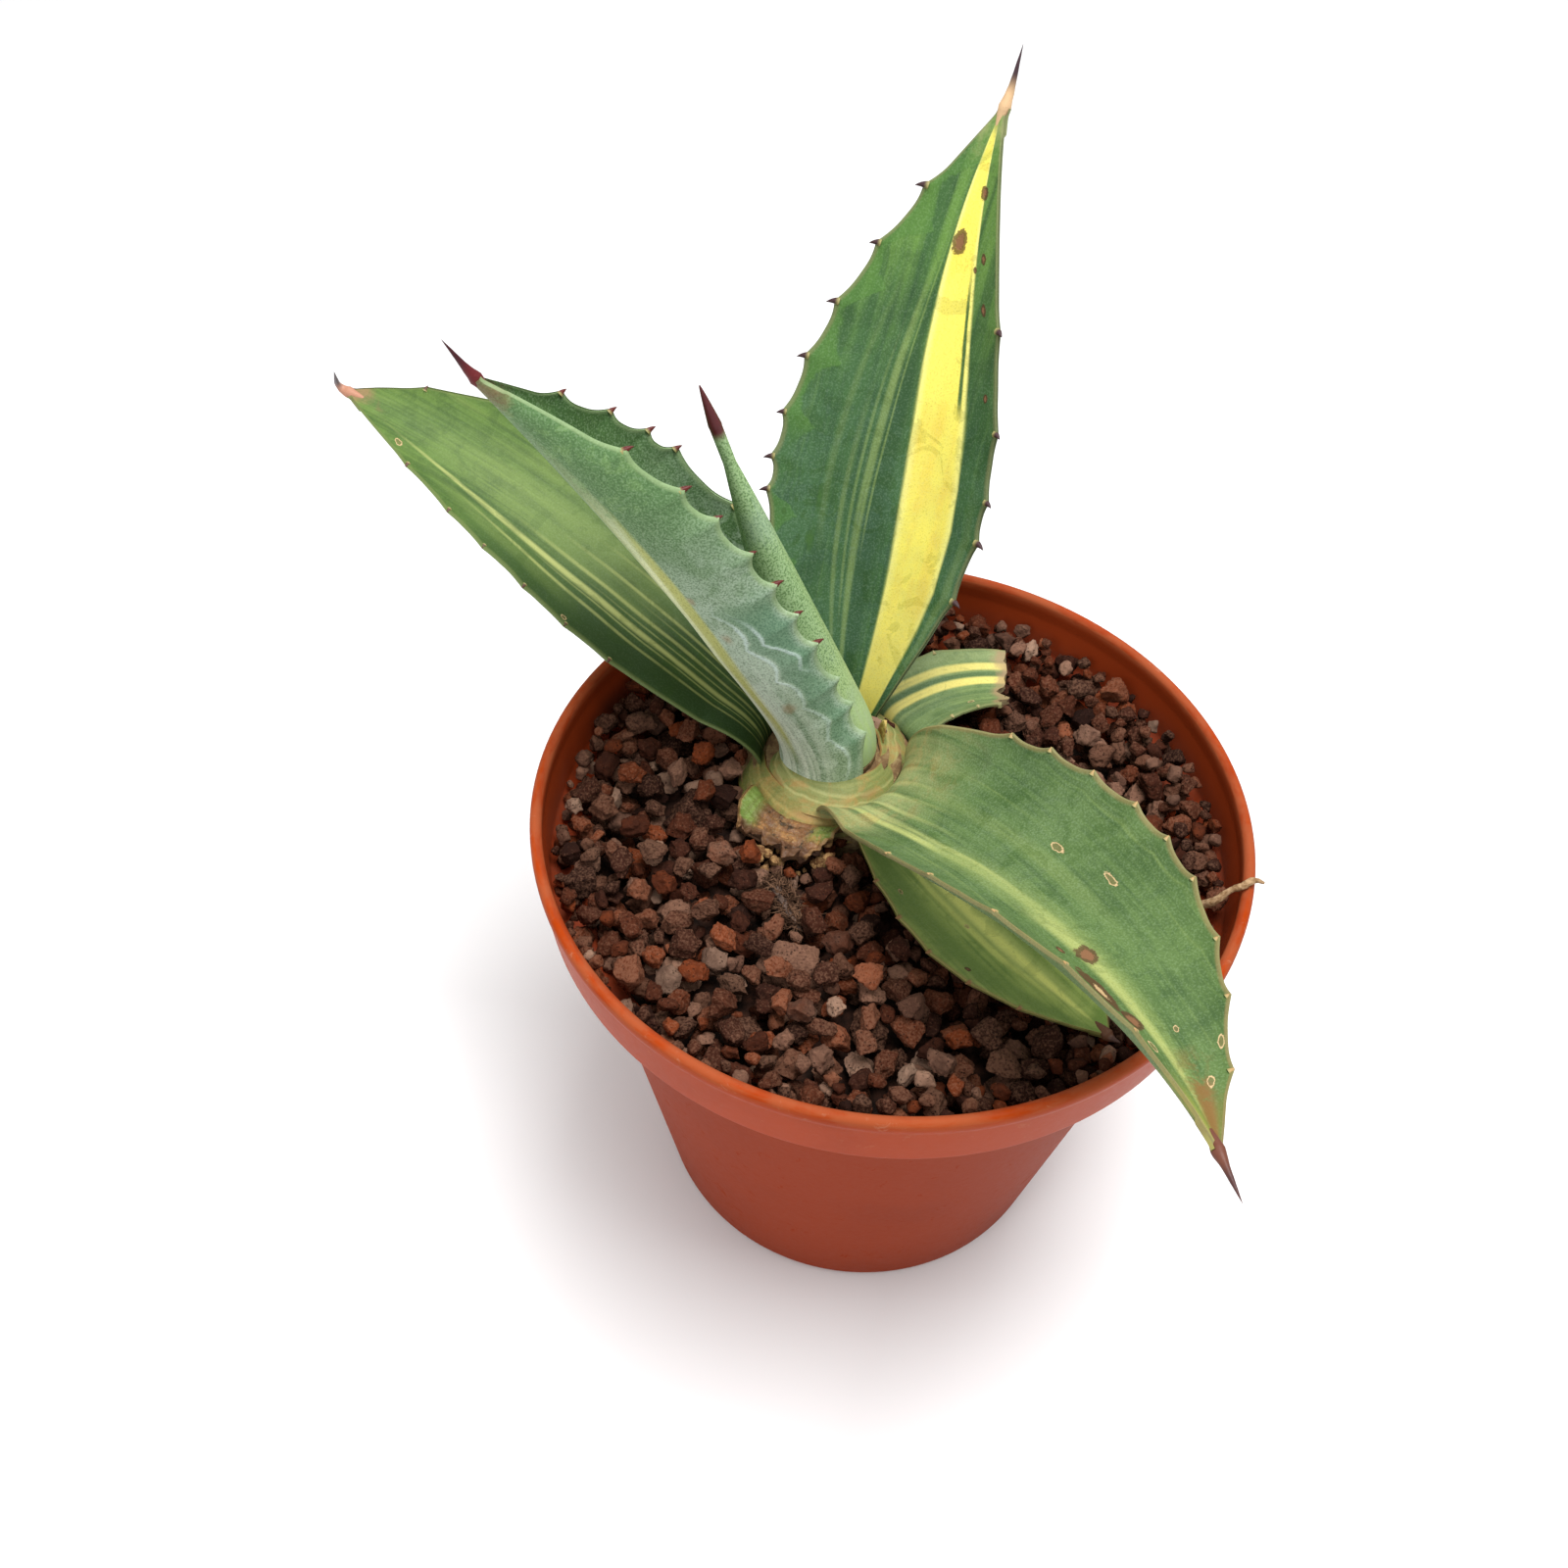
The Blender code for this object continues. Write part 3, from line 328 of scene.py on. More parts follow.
def makePot():
    lipRound = pot["lip"] / 2
    lipMiddle = pot["rim"] - lipRound
    ledge = bandBottom + pot["wall"]
    floor = pot["foot"] + pot["wall"]
    wallFoot = pot["base"] - pot["wall"]

    def body(height):
        return pot["base"] + (bodyTop - pot["base"]) * height / bandBottom

    inside = [(0.0, pot["wall"]), (pot["pad"] - pot["wall"], pot["wall"]),
              (pot["pad"] + pot["foot"], floor), (wallFoot - 1.5 * mm, floor),
              (body(floor + 1.5 * mm) - pot["wall"], floor + 1.5 * mm),
              (body(ledge - 1 * mm) - pot["wall"], ledge - 1 * mm),
              (body(ledge) - pot["wall"] + 1 * mm, ledge), (wallInside(ledge) - 1 * mm, ledge),
              (wallInside(ledge), ledge + 1 * mm),
              (wallInside(pot["height"] - 2 * pot["lip"]), pot["height"] - 2 * pot["lip"]),
              (pot["rim"] - pot["lip"], pot["height"] - pot["lip"])]
    lip = []
    for index in range(1, 12):
        turn = math.pi - math.pi * index / 12
        lip.append((lipMiddle + lipRound * math.cos(turn),
                    pot["height"] - lipRound + lipRound * math.sin(turn)))
    outside = [(pot["rim"], pot["height"] - pot["lip"]),
               (pot["rim"] - 0.5 * mm, pot["height"] - 1.6 * pot["lip"]),
               (pot["rim"] - pot["draft"], bandBottom + 0.8 * mm),
               (pot["rim"] - pot["draft"] - 0.8 * mm, bandBottom), (bodyTop + 1 * mm, bandBottom),
               (bodyTop, bandBottom - 1 * mm), (body(2 * mm), 2 * mm),
               (pot["base"] - 0.8 * mm, 0.0), (pot["base"] - pot["footWidth"], 0.0),
               (pot["base"] - pot["footWidth"] - 1 * mm, pot["foot"]),
               (pot["pad"] + pot["foot"] - pot["wall"] * 0.4, pot["foot"]),
               (pot["pad"] - pot["wall"] * 0.4, 0.0), (0.0, 0.0)]
    inside = softened(inside + lip[:1], potLook["corner"])[:-1]
    outside = softened(lip[-1:] + outside, potLook["corner"])[1:]
    profile = inside + lip + outside
    count = potLook["segments"]
    points = [(0, 0, profile[0][1])]
    for radius, height in profile[1:-1]:
        for index in range(count):
            turn = 2 * math.pi * index / count
            points.append((radius * math.cos(turn), radius * math.sin(turn), height))
    points.append((0, 0, profile[-1][1]))
    rows = len(profile) - 2
    faces = [(0, 1 + index, 1 + (index + 1) % count) for index in range(count)]
    faces += ringFaces(1, rows, count, False)
    end = 1 + (rows - 1) * count
    last = len(points) - 1
    faces += [(last, end + (index + 1) % count, end + index) for index in range(count)]
    shape = bmesh.new()
    made = [shape.verts.new(point) for point in points]
    for face in faces:
        shape.faces.new([made[index] for index in face])
    bmesh.ops.recalc_face_normals(shape, faces=shape.faces[:])
    raw = bpy.data.meshes.new("potRaw")
    shape.to_mesh(raw)
    shape.free()
    blank = bpy.data.objects.new("potBlank", raw)
    scene.collection.objects.link(blank)
    cutter = bmesh.new()
    for index in range(pot["drains"]):
        turn = 2 * math.pi * (index + 0.5) / pot["drains"]
        place = Matrix.Translation((pot["drainCircle"] * math.cos(turn),
                                    pot["drainCircle"] * math.sin(turn), pot["foot"]))
        bmesh.ops.create_cone(cutter, cap_ends=True, segments=40, radius1=pot["drainRadius"],
                              radius2=pot["drainRadius"], depth=6 * pot["wall"], matrix=place)
    drill = bpy.data.meshes.new("drill")
    cutter.to_mesh(drill)
    cutter.free()
    bit = bpy.data.objects.new("drill", drill)
    scene.collection.objects.link(bit)
    bore = blank.modifiers.new("drains", "BOOLEAN")
    bore.object = bit
    bore.solver = "EXACT"
    bpy.context.view_layer.update()
    drilled = bpy.data.meshes.new_from_object(
        blank.evaluated_get(bpy.context.evaluated_depsgraph_get()))
    for spare in (blank, bit):
        bpy.data.objects.remove(spare)
    inner = []
    lipTop = pot["height"] - lipRound
    for vert in drilled.vertices:
        radius = math.hypot(vert.co.x, vert.co.y)
        limit = lipMiddle if vert.co.z > lipTop else wallInside(max(vert.co.z, floor)) + 0.5 * mm
        inner.append(1.0 if radius < limit and vert.co.z > floor - 0.2 * mm else 0.0)
    drilled.name = "nurseryPot"
    drilled.materials.clear()
    drilled.materials.append(potPaint())
    dressed("nursery_pot", drilled, ["pot"], {"potInner": inner}, 32)
    print("pot: %d faces" % len(drilled.polygons))


makePot()


# leaves: headings and slopes in degrees, places along a leaf as shares of its length

leaves = {
    "leaf_left": dict(
        ring="third", seat=1, length=105, width=36.5, heading=150, swing=11, rise=40,
        bend=-28, curl=0, roll=-20, twist=0, wide=0.39, taper=0.88, base=18.5, open=25,
        closing=1.0, sheath=14, swell=1.0, spine=7, lift=92, hollow=0.6, horn=0.55,
        hook=-0.2, wave=0.5, bulge=0.15, columns=30,
        left=(0.33, 0.43, 0.53, 0.63, 0.72, 0.83), right=(0.40, 0.55, 0.68, 0.88)),
    "leaf_inner_left": dict(
        ring="first", seat=3, length=99, width=43, heading=184, swing=3, rise=62, bend=-7,
        curl=0, roll=5, twist=23, wide=0.53, taper=1.0, base=36.6, open=68, closing=1.2,
        sheath=14, swell=1.2, spine=8, lift=4, hollow=1.7, horn=1.5, hook=-0.5, wave=0.35, bulge=-0.45,
        columns=56, curls=(0.07, 0.13, 0.20), left=(0.30, 0.38, 0.46, 0.54, 0.63, 0.70, 0.80),
        right=(0.45, 0.60, 0.66, 0.74, 0.84)),
    "leaf_back": dict(
        ring="second", seat=2, length=113, width=42, heading=81, swing=-28, rise=62, bend=0,
        curl=0, roll=-1, twist=-9, wide=0.42, taper=1.06, base=11.6, open=30, closing=1.0,
        sheath=14, swell=1.1, spine=10, lift=10, hollow=1.2, horn=1.7, hook=-0.7, wave=0.4, bulge=0.35,
        columns=34, left=(0.36, 0.41, 0.48, 0.57, 0.66, 0.76, 0.86),
        right=(0.26, 0.37, 0.44, 0.55, 0.70)),
    "leaf_front": dict(
        ring="third", seat=1, length=110, width=40.5, heading=-52, swing=-22, rise=33,
        bend=-24, curl=-9, roll=30, twist=-62, wide=0.50, taper=1.0, base=23.7, open=48,
        closing=1.0, sheath=14, swell=1.2, spine=8, lift=0, hollow=1.1, horn=0.5,
        hook=-0.3, wave=0.5, bulge=0.15, columns=38,
        left=(0.26, 0.33, 0.41, 0.49, 0.56, 0.63, 0.72, 0.80, 0.90),
        right=(0.35, 0.48, 0.62, 0.74, 0.85)),
    "leaf_lower_front": dict(
        ring="outer", seat=0, length=None, width=28, heading=-54, swing=6, rise=2, bend=-3,
        curl=0, roll=2, twist=0, wide=0.50, taper=0.9, base=13.5, open=20, closing=1.0,
        sheath=5, swell=1.0, spine=3, lift=30, hollow=0.7, horn=0.7, hook=-0.3, wave=0.2, bulge=0.2,
        columns=26, left=(0.30, 0.50, 0.70), right=(0.24, 0.38, 0.52, 0.66, 0.80)),
    "leaf_cut_right": dict(
        ring="outer", seat=0, length=24, width=19, heading=42, swing=-48, rise=16, bend=-10,
        curl=0, roll=-6, twist=0, wide=0.60, taper=0.6, base=19.1, open=38, closing=1.0,
        sheath=5, swell=1.0, spine=0, lift=0, hollow=0.5, horn=0.5, hook=0, wave=0.2, bulge=0.0,
        cut=17, rag=1.5, columns=26, left=(0.55,), right=(0.45, 0.75)),
    "leaf_stub_dead": dict(
        ring="outer", seat=0, length=9, width=19, heading=-117, swing=0, rise=4, bend=-12,
        curl=0, roll=0, twist=0, wide=0.50, taper=0.5, base=20.2, open=22, closing=1.0,
        sheath=4, swell=1.0, spine=0, lift=0, hollow=0.3, horn=0, hook=0, wave=0.5, bulge=0.0,
        cut=14, rag=2.2, columns=30, left=(), right=()),
}
blade = dict(middle=1.8, foot=1.9, edge=0.7, thinning=0.35, tipHalf=0.55, tipDepth=1.1,
             crowding=0.35, marginFrom=0.55, marginRound=0.28, toothRings=6, toothSides=8,
             spineRadius=1.1, spineRoot=3.2, spineRings=26, spineSides=16)
stations = 200
leafKeys = ("leafShare", "leafAcross", "leafUnder", "leafSide", "leafRim", "leafHorn", "leafSpine")


def clamp(value):
    return max(0.0, min(1.0, value))


def leafFrame(leaf, share):
    fromSheath = clamp(share * leaf["length"] / leaf["sheath"])
    start = (1 - fromSheath) ** 2
    slope = leaf["rise"] + leaf["bend"] * share + leaf["curl"] * share ** 2
    slope = math.radians(slope * (1 - start) + 90 * start)
    turn = math.radians(leaf["heading"] + leaf["swing"] * share)
    along = Vector((math.cos(slope) * math.cos(turn), math.cos(slope) * math.sin(turn),
                    math.sin(slope)))
    level = Vector((-math.sin(turn), math.cos(turn), 0.0))
    tilt = math.radians((leaf["roll"] + leaf["twist"] * share) * fromSheath)
    side = level * math.cos(tilt) + along.cross(level) * math.sin(tilt)
    return along, side, along.cross(side)


def halfWidth(leaf, share):
    base, full = leaf["base"] / 2, leaf["width"] / 2
    if share < leaf["wide"]:
        grown = math.sin(math.pi / 2 * share / leaf["wide"]) ** leaf["swell"]
        return base + (full - base) * grown
    past = (share - leaf["wide"]) / (1 - leaf["wide"])
    if leaf.get("cut"):
        return full + (leaf["cut"] / 2 - full) * past
    return max(full * math.cos(math.pi / 2 * past) ** leaf["taper"], blade["tipHalf"])


def marginReach(teeth, share, leaf):
    # the margin stands out at each tooth and hollows between neighbours
    if not teeth:
        return 0.0
    teeth = sorted(teeth)
    fade = 4.5 / leaf["length"]
    if share <= teeth[0]:
        rise = max(0.0, 1 - (teeth[0] - share) / fade) ** 2
    elif share >= teeth[-1]:
        rise = max(0.0, 1 - (share - teeth[-1]) / fade) ** 2
    else:
        low = max(tooth for tooth in teeth if tooth <= share)
        high = min(tooth for tooth in teeth if tooth > share)
        rise = (1 - math.sin(math.pi * (share - low) / (high - low))) ** 1.4
    return leaf["hollow"] * rise


def fitLength(leaf):
    # the low leaf stops short of the wall
    if leaf["length"] is not None:
        return
    turn = math.radians(leaf["heading"] + leaf["swing"] / 2)
    across = stem.x * math.cos(turn) + stem.y * math.sin(turn)
    radius = wallInside(outerSeat)
    room = -across + math.sqrt(across ** 2 - stem.x ** 2 - stem.y ** 2 + radius ** 2)
    leaf["length"] = (room - 3 * mm - rings[leaf["ring"]]) / mm - leaf["spine"]


def makeLeaf(name, paint):
    leaf = leaves[name]
    seed = sum(ord(letter) for letter in name)
    length, columns = leaf["length"], leaf["columns"]
    clasp = math.degrees(leaf["base"] * mm / 2 / rings[leaf["ring"]])
    out, _ = compass(leaf["heading"])
    point = stem + out * rings[leaf["ring"]]
    point.z = outerSeat + leaf["seat"] * seatStep
    values = {key: [] for key in leafKeys}
    points = []

    def add(place, *numbers):
        points.append(place)
        for key, number in zip(leafKeys, numbers):
            values[key].append(number)

    for station in range(stations + 1):
        share = station / stations
        along, side, upper = leafFrame(leaf, share)
        if station:
            middleFrame = leafFrame(leaf, share - 0.5 / stations)[0]
            point = point + middleFrame * (length * mm / stations)
        half = halfWidth(leaf, share)
        fold = leaf["open"] + (clasp - leaf["open"]) * (1 - share) ** leaf["closing"]
        fold = math.radians(fold)
        radius = half / fold
        thick = blade["middle"] + (blade["foot"] - blade["middle"]) * (1 - share) ** 2
        thick = max(thick * (1 - blade["thinning"] * share), blade["edge"])
        reaches = {1: marginReach(leaf["left"] + leaf.get("curls", ()), share, leaf),
                   -1: marginReach(leaf["right"], share, leaf)}
        top, under = [], []
        for index in range(columns + 1):
            across = 2 * index / columns - 1
            # the margin columns crowd towards the edge so that its hollows stay crisp
            across += (math.sin(across * math.pi / 2) - across) * blade["crowding"]
            sign = 1 if across > 0 else -1
            swing = across * fold
            inward = upper * math.cos(swing) - side * math.sin(swing)
            outward = side * math.cos(swing) + upper * math.sin(swing)
            flat = max(0.0, (abs(across) - blade["marginFrom"]) / (1 - blade["marginFrom"])) ** 2
            place = upper * radius - inward * radius + outward * sign * reaches[sign] * flat
            calm = math.sin(math.pi * clamp(share * 1.3)) if share < 0.77 else 0.6 * (1 - share)
            ripple = noise.noise(Vector((share * 7, across * 1.6, seed))) * leaf["wave"] * calm
            ripple += 0.28 * leaf["wave"] * calm * abs(across) ** 3 * noise.noise(
                Vector((share * 22, sign * 4, seed)))
            # the skin bulges up behind each tooth
            ripple += leaf["bulge"] * (reaches[sign] / max(leaf["hollow"], 0.1) - 0.4) * flat
            place = place + inward * ripple
            depth = thick * (1 - across ** 2) + blade["edge"] * across ** 2
            if share > 0.96:
                depth = max(depth, blade["tipDepth"])
            rag = 0.0
            if leaf.get("cut"):
                rag = leaf["rag"] * share ** 6 * (
                    noise.noise(Vector((across * 3.1, seed, 2))) * 1.5
                    + noise.noise(Vector((across * 11, seed, 7))))
                if name == "leaf_stub_dead":
                    crumb = noise.noise(Vector((share * 9, across * 8, seed))) * share
                    place = place + inward * crumb * 1.3
            top.append((point + (place + along * rag) * mm, across))
            under.append((point + (place - inward * depth + along * rag) * mm, across))
            if index in (0, columns):
                edge = place - inward * depth / 2 + outward * sign * blade["marginRound"]
                (top if index else under).append((point + (edge + along * rag) * mm, across))
        for order, (place, across) in enumerate(top + under[::-1]):
            below = 0.0 if order < len(top) - 1 else 1.0
            rim = (1 - across) * half * mm
            add(place, share, across, below, across * half * mm, rim, 0.0, 0.0)
    count = len(points) // (stations + 1)
    faces = ringFaces(0, stations + 1, count)

    # hooked teeth
    for sign, teeth in ((1, leaf["left"]), (-1, leaf["right"])):
        for tooth in teeth if leaf["horn"] else ():
            station = round(tooth * stations)
            index = columns if sign > 0 else 0
            foot = points[station * count + index]
            other = points[station * count + (columns - 2 if sign > 0 else 2)]
            out = (foot - other).normalized()
            along, side, upper = leafFrame(leaf, tooth)
            dice = random.Random(seed + round(tooth * 100) * sign)
            size = leaf["horn"] * dice.uniform(0.75, 1.2)
            start = foot - out * 0.45 * mm - upper * 0.3 * mm
            made, shares = hornPoints(start, out, along, along, (size + 0.5) * mm,
                                      (0.42 + 0.16 * size) * mm, blade["toothRings"],
                                      blade["toothSides"], leaf["hook"])
            faces += ringFaces(len(points), blade["toothRings"], blade["toothSides"])
            for place, part in zip(made, shares):
                add(place, tooth, sign, 0.0, 0.0, 0.0, 0.2 + 0.8 * part, 0.0)

    # end spine
    if leaf["spine"]:
        along, side, upper = leafFrame(leaf, 1.0)
        lift = math.radians(leaf["lift"])
        bent = along * math.cos(lift) + upper * math.sin(lift)
        foot = sum(points[stations * count:(stations + 1) * count], Vector()) / count
        # its root starts inside the blade, so that the two run into each other
        root = blade["spineRoot"]
        whole = leaf["spine"] + root
        last = blade["spineRings"] - 1
        faces += ringFaces(len(points), last + 1, blade["spineSides"])
        centre = foot - along * root * mm
        for ring in range(last + 1):
            out = (whole * ring / last - root) / leaf["spine"]
            part = max(out, 0.0)
            turnShare = clamp(part * 2.2)
            heading = (along * (1 - turnShare) + bent * turnShare).normalized()
            above = heading.cross(side).normalized() * -1
            wide = blade["spineRadius"] * (1.02 - part) ** 0.9 * (1 - 0.25 * clamp(part * 3))
            wide *= 1 + 0.55 * min(out, 0.0) * leaf["spine"] / root
            for corner in range(blade["spineSides"]):
                angle = 2 * math.pi * corner / blade["spineSides"]
                bumpy = 1 + 0.1 * noise.noise(Vector((angle, part * 6, seed)))
                offset = side * math.cos(angle) + above * math.sin(angle)
                add(centre + offset * wide * bumpy * mm, 1.0, 0.0, 0.0, 0.0, 0.01, 0.0,
                    max(part, 0.02))
            centre = centre + heading * whole * mm / last
    piece = meshPiece(name + "_blade", points, faces, paint, [name], values, 48)
    tidyNormals(piece)
    return piece


# leaf finishes. A stripe is (centre and drift across the blade, width, soft edge, strength, from,
# to, tint); a mark is (share along the leaf, place across, length mm, width mm, kind)

plainHorn = dict(horn=(0.2, 0.1, 0.05), spine=((0.2, 0.1, 0.05), (0.1, 0.05, 0.03)))
looks = {
    "leaf_left": dict(
        deep=(0.040, 0.088, 0.014), mid=(0.104, 0.184, 0.032), pale=(0.190, 0.268, 0.062),
        stripe=(0.43, 0.46, 0.150), under=(0.14, 0.22, 0.09), bloom=0.10,
        tip=(0.36, 0.20, 0.10), tipFrom=0.985, margin=(0.16, 0.20, 0.06), granular=0.10,
        stripes=[
            (-0.10, 0.1, 0.10, 0.16, 0.42, 0.25, 0.92, "pale"),
            (-0.45, 0.1, 0.06, 0.12, 0.36, 0.15, 0.85, "pale"),
            (0.20, 0.1, 0.07, 0.14, 0.40, 0.30, 0.9, "pale"),
            (0.72, 0.0, 0.05, 0.10, 0.3, 0.45, 0.9, "pale"),
            (0.34, 0.14, 0.030, 0.05, 0.7, -0.1, 0.62, "deep"),
            (0.54, 0.06, 0.028, 0.04, 0.7, -0.1, 0.66, "deep"),
            (0.14, 0.20, 0.022, 0.04, 0.65, -0.1, 0.55, "deep"),
            (-0.06, 0.20, 0.022, 0.04, 0.55, -0.1, 0.5, "deep"),
            (-0.28, 0.20, 0.02, 0.04, 0.5, -0.1, 0.45, "deep"),
            (0.44, 0.10, 0.014, 0.040, 0.85, 0.0, 0.95, "stripe"),
            (0.24, 0.17, 0.008, 0.024, 0.55, -0.1, 0.66, "stripe"),
            (0.63, 0.03, 0.007, 0.022, 0.55, 0.0, 0.78, "stripe"),
            (0.04, 0.20, 0.008, 0.022, 0.5, -0.1, 0.58, "stripe"),
            (-0.16, 0.22, 0.007, 0.02, 0.42, -0.1, 0.52, "stripe"),
            (-0.36, 0.24, 0.007, 0.02, 0.36, -0.1, 0.46, "stripe"),
            (0.52, 0.06, 0.004, 0.014, 0.5, 0.0, 0.62, "stripe"),
            (0.33, 0.15, 0.004, 0.012, 0.45, -0.1, 0.50, "stripe"),
            (0.13, 0.18, 0.004, 0.012, 0.4, -0.1, 0.42, "stripe")],
        marks=[(0.87, 0.76, 1.7, 1.2, "ring"), (0.44, 0.94, 1.6, 1.0, "ring")],
        shadeSide=0.95, horn=(0.10, 0.045, 0.03), spine=((0.46, 0.22, 0.14), (0.16, 0.14, 0.15))),
    "leaf_inner_left": dict(
        wax=(0.56, 0.67, 0.545), deep=(0.038, 0.096, 0.024), mid=(0.058, 0.136, 0.034),
        pale=(0.105, 0.195, 0.060),
        stripe=(0.34, 0.40, 0.13), under=(0.105, 0.210, 0.075), bloom=1.0,
        tip=(0.16, 0.07, 0.04), tipFrom=0.975, margin=(0.26, 0.36, 0.17), granular=0.55,
        stripes=[(0.0, 0.0, 0.03, 0.06, 0.5, 0.0, 0.8, "stripe")],
        marks=[(0.40, 0.50, 3.2, 2.2, "rust"), (0.20, 0.58, 3.0, 2.4, "rust"),
               (0.50, 0.44, 2.2, 1.6, "rust")],
        horn=(0.10, 0.014, 0.010), spine=((0.11, 0.010, 0.012), (0.045, 0.006, 0.010))),
    "leaf_back": dict(
        wax=(0.125, 0.225, 0.200), deep=(0.024, 0.072, 0.020), mid=(0.045, 0.120, 0.030),
        pale=(0.105, 0.195, 0.055),
        stripe=(0.25, 0.34, 0.10), under=(0.08, 0.16, 0.08), bloom=0.55,
        tip=(0.34, 0.36, 0.14), tipFrom=0.975, margin=(0.20, 0.20, 0.09), granular=0.28,
        stripes=[
            (0.02, 0.10, 0.09, 0.06, 0.75, -0.1, 0.85, "deep"),
            (0.17, 0.03, 0.016, 0.04, 0.62, 0.02, 0.86, "stripe"),
            (0.245, 0.06, 0.005, 0.018, 0.4, 0.18, 0.72, "stripe"),
            (0.35, 0.02, 0.009, 0.03, 0.42, 0.05, 0.60, "stripe"),
            (0.10, 0.02, 0.005, 0.012, 0.5, 0.30, 0.95, "stripe"),
            (0.52, 0.0, 0.01, 0.04, 0.2, 0.3, 0.8, "stripe"),
            (-0.93, 0.1, 0.02, 0.05, 0.35, 0.1, 0.5, "stripe")],
        marks=[(0.80, -0.09, 4.3, 3.0, "brown"), (0.88, -0.42, 2.4, 1.9, "brown"),
               (0.79, -0.66, 2.0, 1.3, "brown"),
               (0.77, -0.50, 1.2, 0.9, "brown"), (0.72, -0.74, 1.9, 1.3, "brown"),
               (0.595, -0.86, 1.7, 1.1, "brown"),
               (0.36, 0.57, 5.2, 1.3, "print"), (0.29, 0.62, 3.4, 1.7, "print"),
               (0.33, 0.88, 1.4, 1.0, "print")],
        horn=(0.045, 0.018, 0.020),
        spine=((0.64, 0.42, 0.23), (0.05, 0.025, 0.032))),
    "leaf_front": dict(
        wax=(0.215, 0.290, 0.180), deep=(0.036, 0.082, 0.018), mid=(0.090, 0.158, 0.040),
        pale=(0.190, 0.258, 0.070), stripe=(0.50, 0.53, 0.17), under=(0.13, 0.20, 0.075), bloom=0.5,
        tip=(0.16, 0.15, 0.025), tipFrom=0.95, margin=(0.26, 0.19, 0.075), granular=0.30,
        stripes=[
            (-0.62, 0.8, 0.085, 0.07, 0.65, -0.1, 0.66, "deep"),
            (-0.62, 0.8, 0.026, 0.055, 0.9, -0.1, 0.82, "stripe"),
            (-0.60, 0.74, 0.075, 0.16, 0.75, 0.28, 1.10, "pale"),
            (-0.50, 0.66, 0.010, 0.03, 0.5, 0.0, 0.6, "stripe"),
            (-0.66, 0.72, 0.035, 0.09, 0.5, 0.55, 1.15, "stripe"),
            (0.10, 0.25, 0.03, 0.08, 0.4, 0.1, 0.7, "pale"),
            (-0.28, 0.5, 0.014, 0.03, 0.5, -0.1, 0.34, "stripe"),
            (-0.05, 0.4, 0.012, 0.03, 0.45, -0.1, 0.30, "stripe"),
            (0.18, 0.3, 0.012, 0.03, 0.4, -0.1, 0.28, "stripe"),
            (-0.45, 0.6, 0.010, 0.02, 0.4, -0.1, 0.3, "stripe"),
            (0.42, 0.2, 0.012, 0.03, 0.35, -0.1, 0.24, "stripe")],
        marks=[(0.44, 0.37, 2.7, 1.2, "ring"), (0.545, 0.49, 3.3, 1.2, "ring"),
               (0.665, -0.16, 4.4, 3.6, "brown"),
               (0.655, -0.40, 2.0, 1.2, "brown"), (0.745, -0.42, 9.5, 3.4, "gash"),
               (0.80, -0.30, 3.6, 3.0, "brown"),
               (0.845, -0.30, 2.4, 1.0, "ring"), (0.905, 0.62, 1.8, 1.1, "ring"),
               (0.855, 0.92, 2.4, 1.1, "ring"),
               (0.445, -0.94, 1.8, 1.3, "ring"), (0.545, -0.92, 2.2, 1.6, "gash"),
               (0.665, -0.94, 1.8, 1.1, "gash"),
               (0.87, -0.55, 1.4, 0.9, "ring"), (0.815, 0.30, 1.2, 0.9, "ring")],
        horn=(0.42, 0.27, 0.11),
        spine=((0.14, 0.045, 0.025), (0.07, 0.025, 0.022))),
    "leaf_lower_front": dict(
        deep=(0.150, 0.250, 0.050), mid=(0.340, 0.450, 0.105), pale=(0.54, 0.62, 0.18),
        stripe=(0.78, 0.82, 0.22), under=(0.13, 0.19, 0.07), bloom=0.10,
        tip=(0.14, 0.24, 0.04), tipFrom=0.93, margin=(0.34, 0.24, 0.09), granular=0.15,
        stripes=[(-0.10, 0.05, 0.12, 0.16, 0.7, 0.05, 0.95, "pale"),
                 (0.3, 0.05, 0.03, 0.05, 0.4, 0.05, 0.8, "stripe"),
                 (-0.72, 0.0, 0.12, 0.16, 0.7, -0.1, 1.1, "deep"),
                 (0.12, 0.0, 0.04, 0.10, 0.6, 0.0, 0.9, "deep"),
                 (-0.16, 0.08, 0.03, 0.09, 0.85, 0.12, 1.05, "stripe"),
                 (-0.36, 0.1, 0.02, 0.06, 0.5, 0.2, 0.9, "stripe")],
        marks=[(0.30, -0.75, 1.4, 0.9, "ring"), (0.62, -0.82, 1.2, 0.9, "brown"),
               (0.5, -0.3, 1.0, 0.7, "ring")],
        horn=(0.30, 0.16, 0.07),
        spine=((0.14, 0.06, 0.03), (0.08, 0.04, 0.03))),
    "leaf_cut_right": dict(
        deep=(0.070, 0.130, 0.042), mid=(0.185, 0.262, 0.088), pale=(0.27, 0.33, 0.13),
        stripe=(0.72, 0.62, 0.165), under=(0.14, 0.22, 0.09), bloom=0.3,
        tip=(0.36, 0.22, 0.12), tipFrom=0.94, margin=(0.24, 0.26, 0.10), granular=0.2,
        stripes=[
            (0.40, 0.0, 0.05, 0.03, 0.9, -0.1, 1.2, "deep"),
            (0.22, 0.0, 0.11, 0.03, 1.0, -0.1, 1.2, "stripe"),
            (0.60, 0.0, 0.08, 0.04, 0.9, -0.1, 1.2, "stripe"),
            (-0.15, 0.0, 0.04, 0.1, 0.6, -0.1, 1.2, "deep"),
